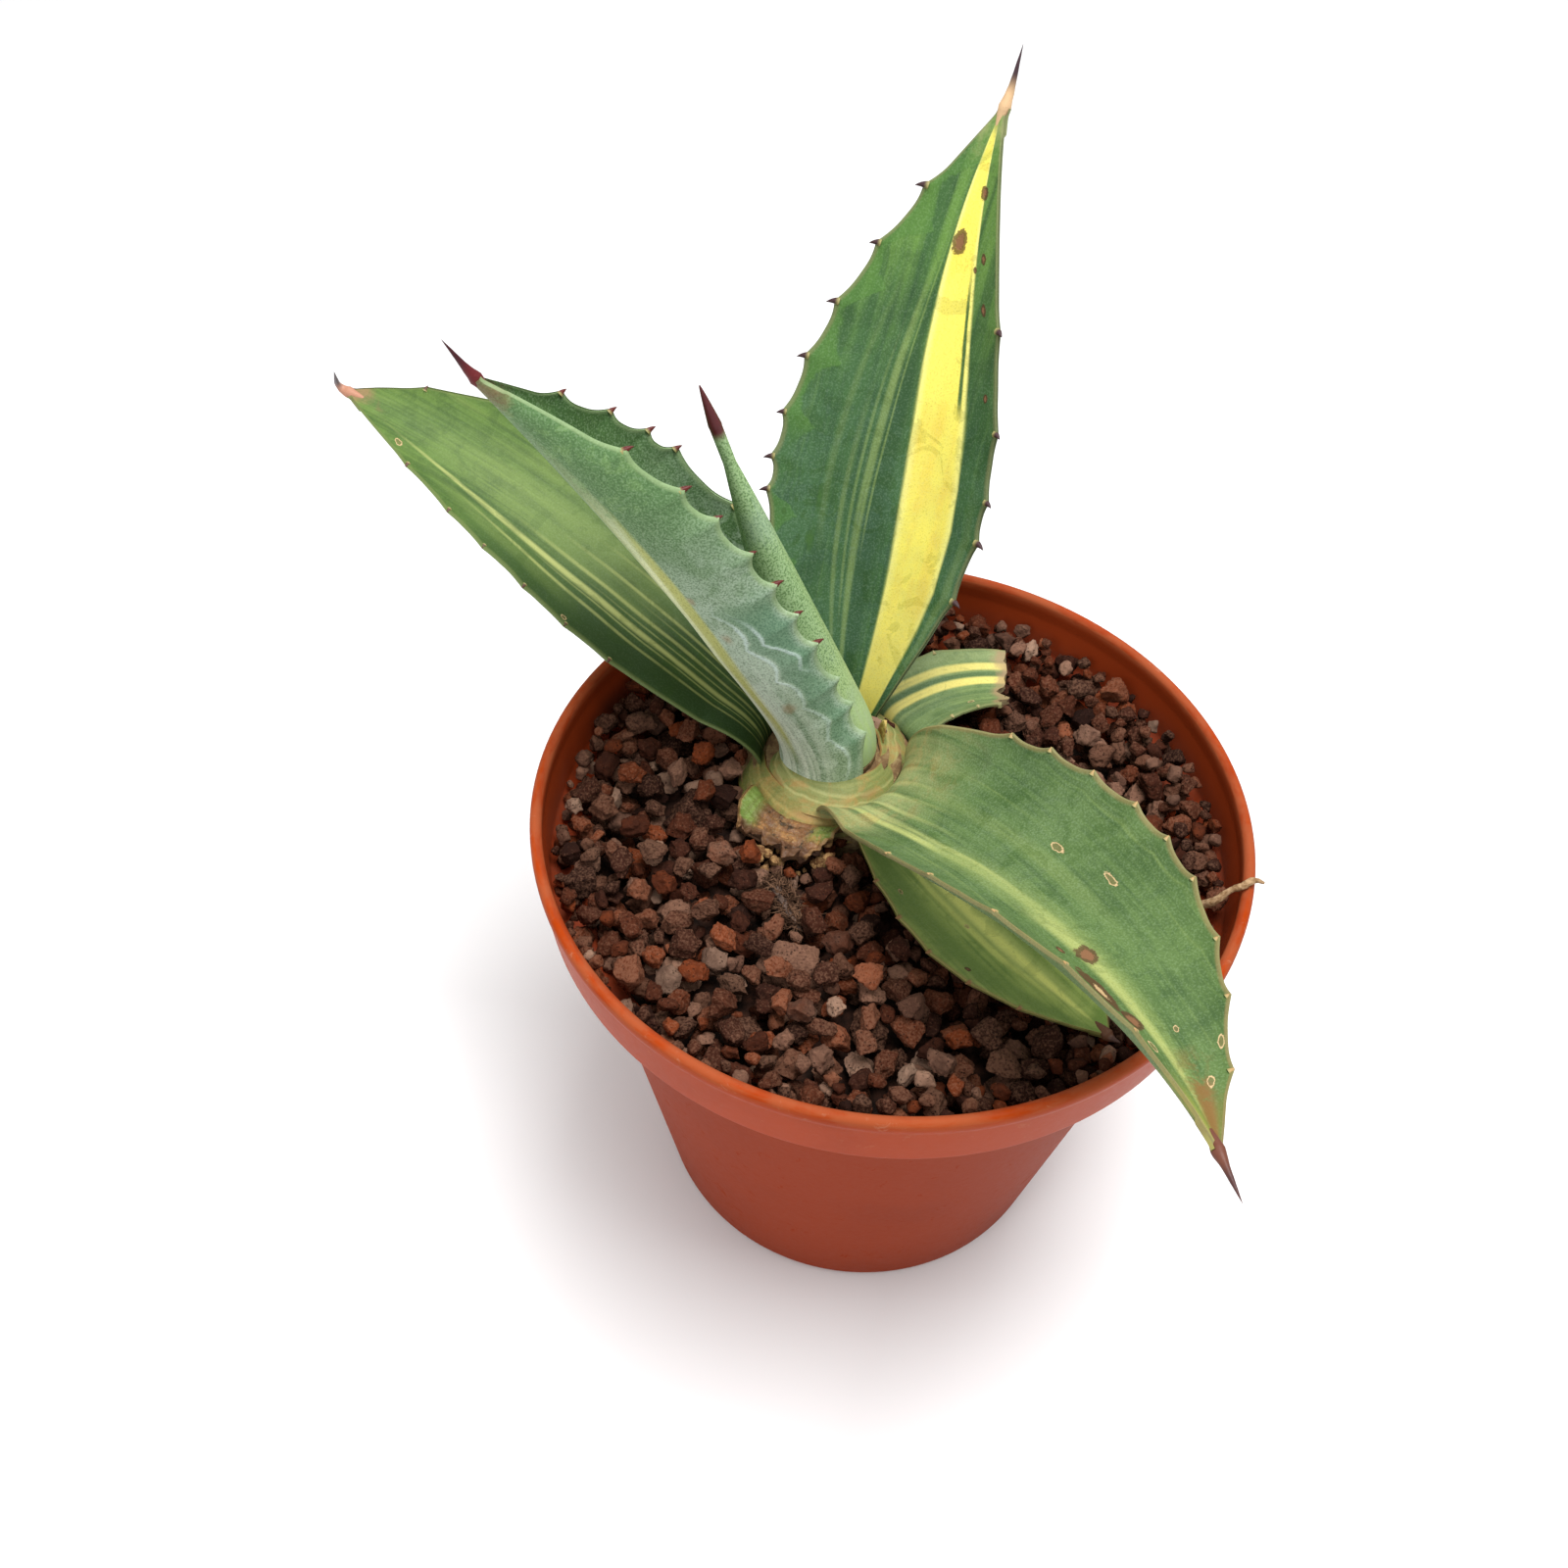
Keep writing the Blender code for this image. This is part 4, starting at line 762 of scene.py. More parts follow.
            (0.86, 0.0, 0.08, 0.08, 0.5, -0.1, 1.2, "pale")],
        marks=[(0.7, -0.5, 1.4, 0.9, "ring")], horn=(0.42, 0.34, 0.16),
        spine=plainHorn["spine"]),
    "leaf_stub_dead": dict(
        deep=(0.080, 0.034, 0.014), mid=(0.19, 0.082, 0.032), pale=(0.34, 0.19, 0.075),
        stripe=(0.17, 0.26, 0.05), under=(0.14, 0.07, 0.04), bloom=0.0,
        tip=(0.10, 0.045, 0.022), tipFrom=0.8, margin=(0.30, 0.16, 0.06), granular=0.3,
        stripes=[(0.85, 0.0, 0.2, 0.2, 0.8, 0.0, 0.7, "stripe"),
                 (-0.95, 0.0, 0.30, 0.2, 0.95, -0.1, 0.95, "stripe")],
        marks=[], **plainHorn),
    "sheath_inner": dict(
        deep=(0.135, 0.160, 0.040), mid=(0.235, 0.245, 0.075), pale=(0.34, 0.32, 0.12),
        stripe=(0.52, 0.50, 0.21), under=(0.13, 0.16, 0.05), bloom=0.0,
        tip=(0.30, 0.14, 0.045), tipFrom=1.5, margin=(0.34, 0.15, 0.05), granular=0.15,
        stripes=[(-0.75, 1.1, 0.05, 0.10, 0.45, 0.1, 1.2, "stripe"),
                 (-0.2, 1.0, 0.03, 0.08, 0.4, 0.0, 0.9, "stripe"),
                 (-0.95, 1.2, 0.08, 0.16, 0.5, 0.0, 1.2, "deep")],
        marks=[(0.25, 0.2, 5, 1.6, "rust"), (0.7, 0.1, 6, 2.0, "rust")], **plainHorn),
    "sheath_outer": dict(
        deep=(0.105, 0.120, 0.026), mid=(0.200, 0.190, 0.046), pale=(0.31, 0.24, 0.075),
        stripe=(0.42, 0.33, 0.10), under=(0.13, 0.12, 0.04), bloom=0.0,
        tip=(0.30, 0.14, 0.045), tipFrom=1.5, margin=(0.30, 0.115, 0.035), granular=0.2,
        stripes=[(-0.65, 0.9, 0.04, 0.10, 0.45, 0.0, 1.0, "stripe"),
                 (-0.1, 0.7, 0.03, 0.08, 0.35, 0.1, 0.9, "stripe"),
                 (0.25, 0.5, 0.12, 0.16, 0.6, -0.1, 0.8, "deep")],
        marks=[(0.35, 0.3, 7, 1.8, "rust"), (0.6, -0.2, 6, 1.6, "rust")], **plainHorn),
}
bloomColour = (0.275, 0.375, 0.305)
scarKinds = dict(
    ring=dict(rim=(0.60, 0.42, 0.22), core=(0.20, 0.13, 0.05), edge=(0.80, 0.62), strong=0.9,
              coreStrong=0.45),
    brown=dict(rim=(0.075, 0.026, 0.010), core=(0.235, 0.105, 0.048), edge=(0.70, 0.45),
               strong=0.85, coreStrong=0.85),
    gash=dict(rim=(0.085, 0.028, 0.012), core=(0.60, 0.40, 0.20), edge=(0.40, 0.26), strong=0.85,
              coreStrong=0.85),
    print=dict(rim=(0.040, 0.105, 0.022), core=(0.052, 0.130, 0.026), edge=(0.70, 0.45),
               strong=0.55, coreStrong=0.55),
    rust=dict(rim=(0.32, 0.16, 0.065)))


# tints that single leaves or parts of a leaf add to their own
tints = dict(
    speck=(0.02, 0.05, 0.015), paleSpeck=(0.42, 0.56, 0.36), toothFoot=(0.30, 0.27, 0.10),
    shadedFoot=(0.022, 0.050, 0.007), shadedMargin=(0.026, 0.064, 0.009),
    upper=(0.150, 0.292, 0.052), gold=(1.0, 0.86, 0.130), amber=(0.95, 0.64, 0.070),
    lemon=(0.98, 0.94, 0.34), goldSpeck=(0.50, 0.38, 0.08), goldFoot=(0.80, 0.66, 0.14),
    sliver=(0.075, 0.15, 0.03), olive=(0.20, 0.27, 0.055),
    pressed=(0.125, 0.250, 0.150), pressedEdge=(0.62, 0.76, 0.72), keel=(0.50, 0.51, 0.14),
    keelPale=(0.76, 0.80, 0.46), foot=(0.74, 0.82, 0.68), tipGreen=(0.10, 0.20, 0.070),
    tipBlotch=(0.17, 0.30, 0.10), stain=(0.40, 0.22, 0.065), cream=(0.44, 0.46, 0.20),
    lime=(0.30, 0.34, 0.06), scorch=(0.21, 0.09, 0.022), rot=(0.38, 0.19, 0.06),
    blackRot=(0.035, 0.016, 0.010))
# prints of toothed margins: (place across, drift, from, to) on the inner left leaf's back, and
# (scallops, inset mm, tint, from, to) along the back leaf's margin
budPrints = ((0.80, -0.58, 0.0, 0.50), (1.22, -1.35, 0.26, 0.46))
marginPrints = ((27, 1.2, (0.078, 0.190, 0.034), 0.42, 0.97),
                (38, 0.4, (0.070, 0.180, 0.040), 0.12, 0.42))


def leafSkin(paint, long):
    # places on the leaf, and the fibres, streaks, clouds and grain that every finish is made from
    skin = SimpleNamespace()
    for short, key in zip(("share", "across", "under", "side", "rim", "horn", "spine"), leafKeys):
        setattr(skin, short, paint.read(key))
    skin.spot = paint.place()
    skin.seen = 1 - skin.under
    skin.faint = 1 - skin.under * 0.62
    along = skin.share * (long * mm)
    skin.fibre = paint.noise(
        paint.combine(along * 22, skin.side * 1000, skin.under * 3), 1.0, 4, 0.6)
    skin.streak = paint.noise(
        paint.combine(along * 12, skin.side * 330, skin.under * 5), 1.0, 3, 0.55)
    skin.cloud = paint.noise(skin.spot, 75, 4, 0.6)
    skin.blot = paint.noise(skin.spot, 240, 4, 0.65, 0.6)
    skin.grain = paint.noise(skin.spot, 3000, 1, 0.5)
    return skin


def shadedSide(paint, skin, colour, look):
    # painted shade: the lower margin and the foot are painted a deeper, plainer green
    share = skin.share
    edge = paint.smooth(skin.across, 0.50, 0.78) * paint.smooth(share, 0.90, 0.50)
    colour = paint.mix(colour, look["deep"], edge * look["shadeSide"])
    colour = paint.mix(colour, tints["shadedFoot"], paint.smooth(share, 0.78, 0.25) * 0.93)
    return paint.mix(colour, tints["shadedMargin"], edge * paint.smooth(share, 0.75, 0.35) * 0.6)


def stripes(paint, skin, colour, look):
    for centre, drift, wide, soft, strength, start, end, tint in look["stripes"]:
        wander = (skin.streak - 0.5) * 0.05 + (skin.fibre - 0.5) * 0.02
        off = abs(skin.across - (skin.share * drift + centre) + wander)
        edge = paint.smooth(off, wide + soft, wide * 0.6)
        reach = paint.smooth(skin.share, start - 0.04, start + 0.06)
        reach = reach * paint.smooth(skin.share, end, end - 0.25)
        broken = paint.smooth(skin.fibre * 0.5 + skin.cloud * 0.5, 0.30, 0.50) * 0.6 + 0.4
        colour = paint.mix(colour, look[tint], edge * reach * skin.faint * broken * strength)
    return colour


def goldBand(paint, skin, colour):
    # the broad yellow band, with one dark green sliver inside it
    share, streak = skin.share, skin.streak
    upper = paint.smooth(share + (skin.cloud - 0.5) * 0.3, 0.50, 0.85)
    colour = paint.mix(colour, tints["upper"], upper * paint.smooth(streak, 0.35, 0.60) * 0.7)
    middle = share * share * 0.22 + share * 0.28 - 0.58
    off = abs(skin.across - middle + (streak - 0.5) * 0.035)
    band = paint.smooth(off, 0.295, 0.26) * paint.smooth(share, 0.985, 0.95)
    gold = paint.mix(tints["gold"], tints["amber"],
                     paint.smooth(skin.cloud * 0.6 + streak * 0.4, 0.46, 0.66) * 0.6)
    gold = paint.mix(gold, tints["lemon"], paint.smooth(off, 0.18, 0.27) * 0.6)
    speck = paint.smooth(skin.grain * 0.5 + skin.blot * 0.5, 0.62, 0.70)
    gold = paint.mix(gold, tints["goldSpeck"], speck * 0.4)
    gold = paint.mix(gold, tints["goldFoot"], paint.smooth(share, 0.35, 0.05) * 0.8)
    colour = paint.mix(colour, gold, band * skin.faint)
    line = abs(skin.across - middle + 0.20 + (skin.fibre - 0.5) * 0.02)
    line = paint.smooth(line, 0.035, 0.012) * paint.smooth(share, 0.54, 0.58)
    line = line * paint.smooth(share, 0.80, 0.70)
    colour = paint.mix(colour, tints["sliver"], line * skin.seen)
    olive = paint.smooth(abs(off - 0.28), 0.035, 0.0) * paint.smooth(streak, 0.40, 0.6)
    return paint.mix(colour, tints["olive"], olive * skin.seen * 0.6)


def innerBack(paint, skin, colour, worn):
    # margins pressed into the back while in the bud, a cream keel, and a pale foot
    share, across, under, streak = skin.share, skin.across, skin.under, skin.streak
    grooves = 0.0
    for centre, drift, start, end in budPrints:
        scallop = abs((share * 34 + (skin.cloud - 0.5) * 1.6).wave()) * 0.075
        off = across - (centre + share * drift + scallop) + (skin.blot - 0.5) * 0.05
        span = paint.smooth(share, start - 0.02, start + 0.05)
        span = span * paint.smooth(share, end, end - 0.08) * under
        line = paint.smooth(abs(off), 0.026, 0.004) * span * (0.5 + worn * 0.5)
        inner = paint.smooth(off, 0.0, 0.05) * paint.smooth(across, 1.0, 0.9)
        colour = paint.mix(colour, tints["pressed"], inner * span * 0.72)
        colour = paint.mix(colour, tints["pressedEdge"], line * 0.7)
        grooves = grooves + line * 0.7 - inner * span * 0.4
    keel = paint.smooth(across + (streak - 0.5) * 0.08, 0.44, 0.37)
    keel = keel * paint.smooth(across, 0.05, 0.2) * under
    keel = keel * paint.smooth(share, 0.03, 0.15) * paint.smooth(share, 0.95, 0.6)
    cream = paint.mix(tints["keel"], tints["keelPale"], paint.smooth(streak, 0.4, 0.6))
    colour = paint.mix(colour, cream, keel * 0.9)
    foot = paint.smooth(streak * 0.6 + skin.fibre * 0.4, 0.40, 0.56)
    foot = foot * paint.smooth(share, 0.42, 0.12) * paint.smooth(across, 0.78, 0.55) * under
    colour = paint.mix(colour, tints["foot"], foot * 0.8)
    green = paint.smooth(share + (skin.cloud - 0.5) * 0.3, 0.55, 0.80) * under * 0.6
    colour = paint.mix(colour, tints["tipGreen"], green)
    colour = paint.mix(colour, tints["tipBlotch"], paint.smooth(skin.blot, 0.5, 0.62) * green)
    return colour, grooves


def scallopedMargin(paint, skin, colour):
    # a deep green zone where the bloom was printed off the margin
    share, grooves = skin.share, 0.0
    for count, inset, tint, start, end in marginPrints:
        scallop = (1 - abs((share * count + (skin.cloud - 0.5) * 2).wave())) * 4.2 * mm
        zone = paint.smooth(skin.rim - scallop + (skin.blot - 0.5) * 3 * mm, (inset + 0.5) * mm,
                            (inset - 0.3) * mm)
        zone = zone * paint.smooth(share, start, start + 0.06) * skin.seen
        zone = zone * paint.smooth(share, end, end - 0.08)
        colour = paint.mix(colour, tint, zone * 0.70)
        grooves = grooves + zone * 0.3
    return colour, grooves


def scars(paint, skin, colour, name, long, width):
    # each scar has a rim and a core of other colours
    pits = 0.0
    for markShare, markAcross, length, wide, kind in looks[name]["marks"]:
        half = halfWidth(leaves[name], markShare) if name in leaves else width / 2
        dx = (skin.share - markShare) * (long / (length / 2))
        dy = (skin.across - markAcross) * (half / (wide / 2))
        distance = (dx * dx + dy * dy) ** 0.5 + (skin.blot - 0.5) * 1.5 + (skin.grain - 0.5) * 0.5
        scar = scarKinds[kind]
        if kind == "rust":
            where = skin.under if name == "leaf_inner_left" else skin.seen
            colour = paint.mix(colour, scar["rim"], paint.smooth(distance, 1.3, 0.2) * where * 0.45)
            continue
        inside = paint.smooth(distance, 1.10, 0.92)
        core = paint.smooth(distance, *scar["edge"])
        ring = inside - core if kind == "ring" else inside
        colour = paint.mix(colour, scar["rim"], ring * skin.seen * scar["strong"])
        colour = paint.mix(colour, scar["core"], core * skin.seen * scar["coreStrong"])
        if kind != "print":
            pits = pits + (inside - core * 1.8) * skin.seen
    return colour, pits


def leafPaint(name, long, width=40):
    look = looks[name]
    paint = Paint(name.replace("leaf_", "agave "), {"Specular IOR Level": 0.30})
    skin = leafSkin(paint, long)
    share, across, under, seen = skin.share, skin.across, skin.under, skin.seen
    fibre, streak, cloud, blot, grain = skin.fibre, skin.streak, skin.cloud, skin.blot, skin.grain
    colour = paint.mix(look["deep"], look["mid"], paint.smooth(cloud * 0.5 + fibre * 0.5, 0.32, 0.58))
    colour = paint.mix(colour, look["pale"], paint.smooth(streak * 0.7 + fibre * 0.3, 0.52, 0.72) * 0.7)
    colour = paint.mix(colour, look["deep"], paint.smooth(blot, 0.52, 0.66) * 0.42)
    if "shadeSide" in look:
        colour = shadedSide(paint, skin, colour, look)
    colour = stripes(paint, skin, colour, look)
    if name == "leaf_back":
        colour = goldBand(paint, skin, colour)

    # wax bloom, thickest low on the leaf and rubbed off in patches
    worn = paint.smooth(blot * 0.5 + cloud * 0.5, 0.42, 0.56)
    bloom = paint.smooth(share, 0.78, 0.30) * (0.35 + under * 0.65) * look["bloom"] * (
        0.45 + worn * 0.55)
    colour = paint.mix(colour, look["under"], under * 0.65)
    rubbed = paint.smooth(paint.noise(skin.spot, 130, 4, 0.55, 1.4), 0.575, 0.595) * seen
    bloom = bloom * (1 - rubbed * 0.75)
    colour = paint.mix(colour, look["deep"], rubbed * 0.22)
    wax = look.get("wax", bloomColour)
    colour = paint.mix(colour, wax, bloom * paint.smooth(grain, 0.60, 0.40) * 0.45)
    colour = paint.mix(colour, wax, bloom * 0.66)

    grooves = 0.0
    if name == "leaf_inner_left":
        colour, grooves = innerBack(paint, skin, colour, worn)
    if name == "leaf_back":
        colour, grooves = scallopedMargin(paint, skin, colour)
    if name in ("leaf_front", "sheath_inner", "sheath_outer"):
        stain = paint.smooth(blot * 0.6 + cloud * 0.4, 0.46, 0.62)
        low = paint.smooth(share, 0.26, 0.02) if name == "leaf_front" else 1.0
        colour = paint.mix(colour, tints["stain"], stain * low * 0.62)
        if name == "leaf_front":
            colour = paint.mix(colour, tints["cream"], paint.smooth(streak, 0.34, 0.60) * low * 0.62)
    if name == "leaf_stub_dead":
        rot = paint.noise(skin.spot, 420, 5, 0.7)
        dead = paint.smooth(across, -0.75, -0.45)
        colour = paint.mix(colour, tints["rot"], paint.smooth(rot, 0.52, 0.68) * dead * 0.85)
        colour = paint.mix(colour, tints["blackRot"], paint.smooth(rot, 0.48, 0.36) * dead * 0.9)

    # granular skin, then the tint of the tip and the horny margin
    granular = look["granular"]
    colour = paint.mix(colour, tints["speck"], paint.smooth(grain, 0.52, 0.64) * granular * 0.55)
    colour = paint.mix(colour, tints["paleSpeck"], paint.smooth(grain, 0.47, 0.36) * granular * 0.28)
    tip = paint.smooth(share + (blot - 0.5) * 0.2, look["tipFrom"] - 0.05, look["tipFrom"] + 0.04)
    colour = paint.mix(colour, look["tip"], tip * 0.7)
    if name == "leaf_front":
        lime = paint.smooth(share, 0.86, 0.97) * paint.smooth(streak, 0.42, 0.6)
        colour = paint.mix(colour, tints["lime"], lime * paint.smooth(across, 0.2, -0.5) * 0.8)
        scorch = paint.smooth(share, 0.83, 0.90) * paint.smooth(abs(across - 0.35), 0.5, 0.1)
        colour = paint.mix(colour, tints["scorch"], scorch * paint.smooth(blot, 0.40, 0.58) * 0.75)
    colour = paint.mix(colour, look["margin"], paint.smooth(abs(across), 0.955, 0.995) * 0.6)
    colour, pits = scars(paint, skin, colour, name, long, width)

    # teeth and spine
    horn, spine = skin.horn, skin.spine
    tooth = paint.mix(tints["toothFoot"], look["horn"], paint.smooth(horn, 0.22, 0.5))
    colour = paint.mix(colour, tooth, paint.smooth(horn, 0.1, 0.19))
    foot, point = look["spine"]
    thorn = paint.mix(foot, point, paint.smooth(spine + (fibre - 0.5) * 0.3, 0.15, 0.55))
    colour = paint.mix(colour, thorn, paint.smooth(spine, 0.0, 0.01))
    hard = paint.smooth(horn + spine, 0.02, 0.15)
    rough = 0.50 + bloom * 0.22 + grain * 0.12 - hard * 0.12 + cloud * 0.06
    height = fibre * 0.6 + grain * (0.35 + granular) + cloud * 0.5 + grooves * 1.4 + pits * 1.3
    return paint.finish(colour, rough, height, 0.11 * mm, 0.5)


leafPieces = {}
for leafName in leaves:
    fitLength(leaves[leafName])
    leafPieces[leafName] = makeLeaf(
        leafName, leafPaint(leafName, leaves[leafName]["length"]))
print("leaves: %d blades" % len(leafPieces))


# leaf bases that wrap the stem between the blades

sheaths = {
    "sheath_inner": dict(start=166, end=362, top=(9.2, 101.4), low=(15.6, 96.9), bulge=0.25,
                         look="sheath_inner"),
    "sheath_outer": dict(start=158, end=312, top=(13.2, 98.4), low=(19.4, 93.4), bulge=0.4,
                         look="sheath_outer"),
    "sheath_back": dict(start=-24, end=122, top=(8.8, 100.9), low=(16.2, 95.0), bulge=0.5,
                        look="sheath_inner"),
}
sheathThick, sheathSink = 0.75, 6.5


def makeSheath(name):
    sheath = sheaths[name]
    rows, columns = 90, 14
    span = sheath["end"] - sheath["start"]
    topReach, topHeight = sheath["top"]
    spread, drop = sheath["low"][0] - topReach, sheath["low"][1] - topHeight
    points = []
    values = {key: [] for key in leafKeys}
    for row in range(rows + 1):
        share = row / rows
        out, _ = compass(sheath["start"] + span * share)
        full = 0.12 + 0.88 * math.sin(math.pi * share) ** 0.5
        ragged = 1 + 0.20 * noise.noise(Vector((share * 5, 3, span)))
        ragged += 0.08 * noise.noise(Vector((share * 21, 8, span)))
        sides = []
        for thick in (0.0, sheathThick):
            side = []
            for column in range(columns + 1):
                down = column / columns
                reach = topReach + spread * down * full * ragged
                height = topHeight + drop * down * full * ragged
                belly = sheath["bulge"] * math.sin(math.pi * down) * full
                belly += 0.35 * noise.noise(Vector((share * 9, down * 2, span)))
                thin = thick * (0.35 + 0.65 * math.sin(math.pi * min(down + 0.1, 0.9)))
                place = out * ((reach + belly * 0.8 - thin * 0.7) * mm)
                # the two ends sink into the stem
                place.z = (height + belly * 0.6 - thin * 0.7 - (1 - full) * sheathSink) * mm
                side.append((stem + place, 2 * down - 1))
            sides.append(side)
        for order, (place, across) in enumerate(sides[0] + sides[1][::-1]):
            points.append(place)
            numbers = (share, across, 0.0 if order <= columns else 1.0, across * 4 * mm,
                       (1 - across) * 4 * mm, 0.0, 0.0)
            for key, number in zip(leafKeys, numbers):
                values[key].append(number)
    piece = meshPiece(name, points, ringFaces(0, rows + 1, 2 * (columns + 1)),
                      leafPaint(sheath["look"], 45, 8), [], values, 50)
    tidyNormals(piece)


for sheathName in sheaths:
    makeSheath(sheathName)


# rolled young leaves

spike = dict(length=72, radius=8.0, heading=166, rise=70, sheath=8, spine=8, taper=0.85, sides=64,
             rows=110, roll=0.07, seam=-1.1, colour=(0.265, 0.410, 0.180),
             spineRows=16, low=(0.40, 0.54, 0.22), pale=(0.45, 0.58, 0.36), streaks=(0.42, 0.52, 0.27),
             horn=(0.085, 0.014, 0.016), dark=(0.075, 0.15, 0.045), edge=(0.25, 0.10, 0.05))


def spikePaint():
    paint = Paint("agave rolled heart", {"Specular IOR Level": 0.38})
    share, turn, point = (paint.read(key) for key in ("leafShare", "leafAcross", "leafSpine"))
    spot = paint.place()
    speck = paint.noise(spot, 3000, 1, 0.5)
    cloud = paint.noise(spot, 90, 3, 0.5)
    fibre = paint.noise(paint.combine(share * 3, turn * 40, 0.0), 1.0, 4, 0.6)
    colour = paint.mix(spike["low"], spike["colour"], paint.smooth(share, 0.05, 0.5))
    stipple = paint.smooth(share, 0.0, 0.35) * 0.75
    colour = paint.mix(colour, spike["dark"], paint.smooth(speck, 0.50, 0.62) * stipple)
    colour = paint.mix(colour, spike["pale"], paint.smooth(speck, 0.46, 0.36) * 0.3)
    colour = paint.mix(colour, bloomColour, paint.smooth(cloud + fibre * 0.5, 0.7, 0.95) * 0.35)
    edge = paint.smooth(turn, 0.965, 0.99) * paint.smooth(share, 0.15, 0.4)
    colour = paint.mix(colour, spike["edge"], edge * 0.85)
    streaks = paint.smooth(fibre, 0.52, 0.7) * paint.smooth(share, 0.5, 0.1)
    colour = paint.mix(colour, spike["streaks"], streaks * 0.5)
    tip = paint.smooth(share + (fibre - 0.5) * 0.02, 0.965, 0.995)
    colour = paint.mix(colour, spike["horn"], tip.highest(paint.smooth(point, 0.0, 0.02)))
    rough = 0.55 + speck * 0.12 - tip * 0.2
    return paint.finish(colour, rough, speck * 0.6 + fibre * 0.5, 0.08 * mm, 0.4)


def makeSpike():
    out, side = compass(spike["heading"])
    point = stem + Vector((0, 0, outerSeat + 4 * seatStep))
    points, shares, turns, tips = [], [], [], []
    spineRows = spike["spineRows"]
    for row in range(spike["rows"] + spineRows + 1):
        share = min(row / spike["rows"], 1.0)
        start = (1 - clamp(share * spike["length"] / spike["sheath"])) ** 2
        slope = math.radians(spike["rise"] * (1 - start) + 90 * start)
        along = out * math.cos(slope) + Vector((0, 0, math.sin(slope)))
        upper = along.cross(side)
        radius = max(spike["radius"] * (1 - share) ** spike["taper"], blade["spineRadius"])
        past = max(0, row - spike["rows"]) / spineRows
        if past:
            radius = blade["spineRadius"] * (1 - past) ** 0.85 + 0.12
        for corner in range(spike["sides"]):
            part = corner / spike["sides"]
            angle = spike["seam"] + 2 * math.pi * part
            lap = 1 - spike["roll"] * (1 - part) ** 3 * (1 - past)
            offset = side * math.cos(angle) + upper * math.sin(angle)
            points.append(point + offset * radius * lap * mm)
            shares.append(share)
            turns.append(part)
            tips.append(past)
        stride = spike["length"] / spike["rows"] if row < spike["rows"] else (
            spike["spine"] / spineRows)
        point = point + along * stride * mm
    faces = ringFaces(0, spike["rows"] + spineRows + 1, spike["sides"])
    piece = meshPiece("leaf_spike_rolled", points, faces, spikePaint(),
                      ["leaf_spike"], {"leafShare": shares, "leafAcross": turns,
                                       "leafSpine": tips}, 50)
    tidyNormals(piece)


makeSpike()
print("heart: rolled leaves")


# stones and grit

stoneLook = dict(
    umber=0.08, rust=0.62, taupe=0.80, pale=0.95,  # each kind's place on the ramp
    powder=(0.80, 0.42, 0.26), pores=(0.01, 0.006, 0.005), breaks=12,
    stops=[(0.0, (0.018, 0.0062, 0.0038)), (0.22, (0.038, 0.0115, 0.0062)),
           (0.45, (0.063, 0.0165, 0.0072)), (0.60, (0.104, 0.0235, 0.0078)),
           (0.70, (0.165, 0.0350, 0.0098)), (0.78, (0.078, 0.0350, 0.0225)),
           (0.88, (0.150, 0.0740, 0.0480)), (1.0, (0.255, 0.1580, 0.1100))])


def stonePaint():
    paint = Paint("lava and pumice grit", {"Specular IOR Level": 0.08})
    tone, shade = paint.read("stoneTone"), paint.read("stoneShade")
    spot = paint.place()
    blotch = paint.noise(spot, 420, 4, 0.65)
    grain = paint.noise(spot, 2100, 3, 0.7)
    pore = paint.cells(spot, 1500)
    colour = paint.ramp(tone + (blotch - 0.5) * 0.10, stoneLook["stops"])
    lighter = paint.mix(colour, stoneLook["powder"], 0.11)
    colour = paint.mix(colour, lighter, paint.smooth(grain + shade * 0.3, 0.55, 0.85))
    hole = paint.smooth(pore, 0.34, 0.12) * paint.smooth(blotch, 0.42, 0.6)
    dark = paint.mix(colour, stoneLook["pores"], 0.7)
    colour = paint.mix(colour, dark, hole * 0.8)
    colour = paint.mix(colour, dark, paint.smooth(blotch * 0.5 + shade * 0.5, 0.40, 0.20) * 0.6)
    height = grain * 0.55 + blotch * 0.8 - hole * 0.9
    return paint.finish(colour, 0.82 + grain * 0.14, height, 0.28 * mm, 0.9)


stoneFinish = stonePaint()


def stoneShape(seed, subdivisions):
    # a round start broken flat on many sides, then roughened
    dice = random.Random(seed)
    shape = bmesh.new()
    bmesh.ops.create_icosphere(shape, subdivisions=subdivisions, radius=1.0)
    planes = []
    for _ in range(stoneLook["breaks"]):
        normal = Vector([dice.gauss(0, 1) for _ in range(3)]).normalized()
        planes.append((normal, dice.uniform(0.50, 0.82)))
    for vert in shape.verts:
        for normal, offset in planes:
            over = vert.co.dot(normal) - offset
            if over > 0:
                vert.co -= normal * over * 0.94
        lumps = ((1.9, (seed, 0, 0), 0.20), (4.4, (0, seed, 0), 0.13), (9.5, (0, 0, seed), 0.07))
        vert.co *= 1 + sum(noise.noise(vert.co * often + Vector(shift)) * high
                           for often, shift, high in lumps)
    points = np.array([tuple(vert.co) for vert in shape.verts])
    faces = np.array([[vert.index for vert in face.verts] for face in shape.faces])
    shape.free()
    middle = (points.max(axis=0) + points.min(axis=0)) / 2
    points -= middle
    points /= np.abs(points).max(axis=0)
    return points, faces


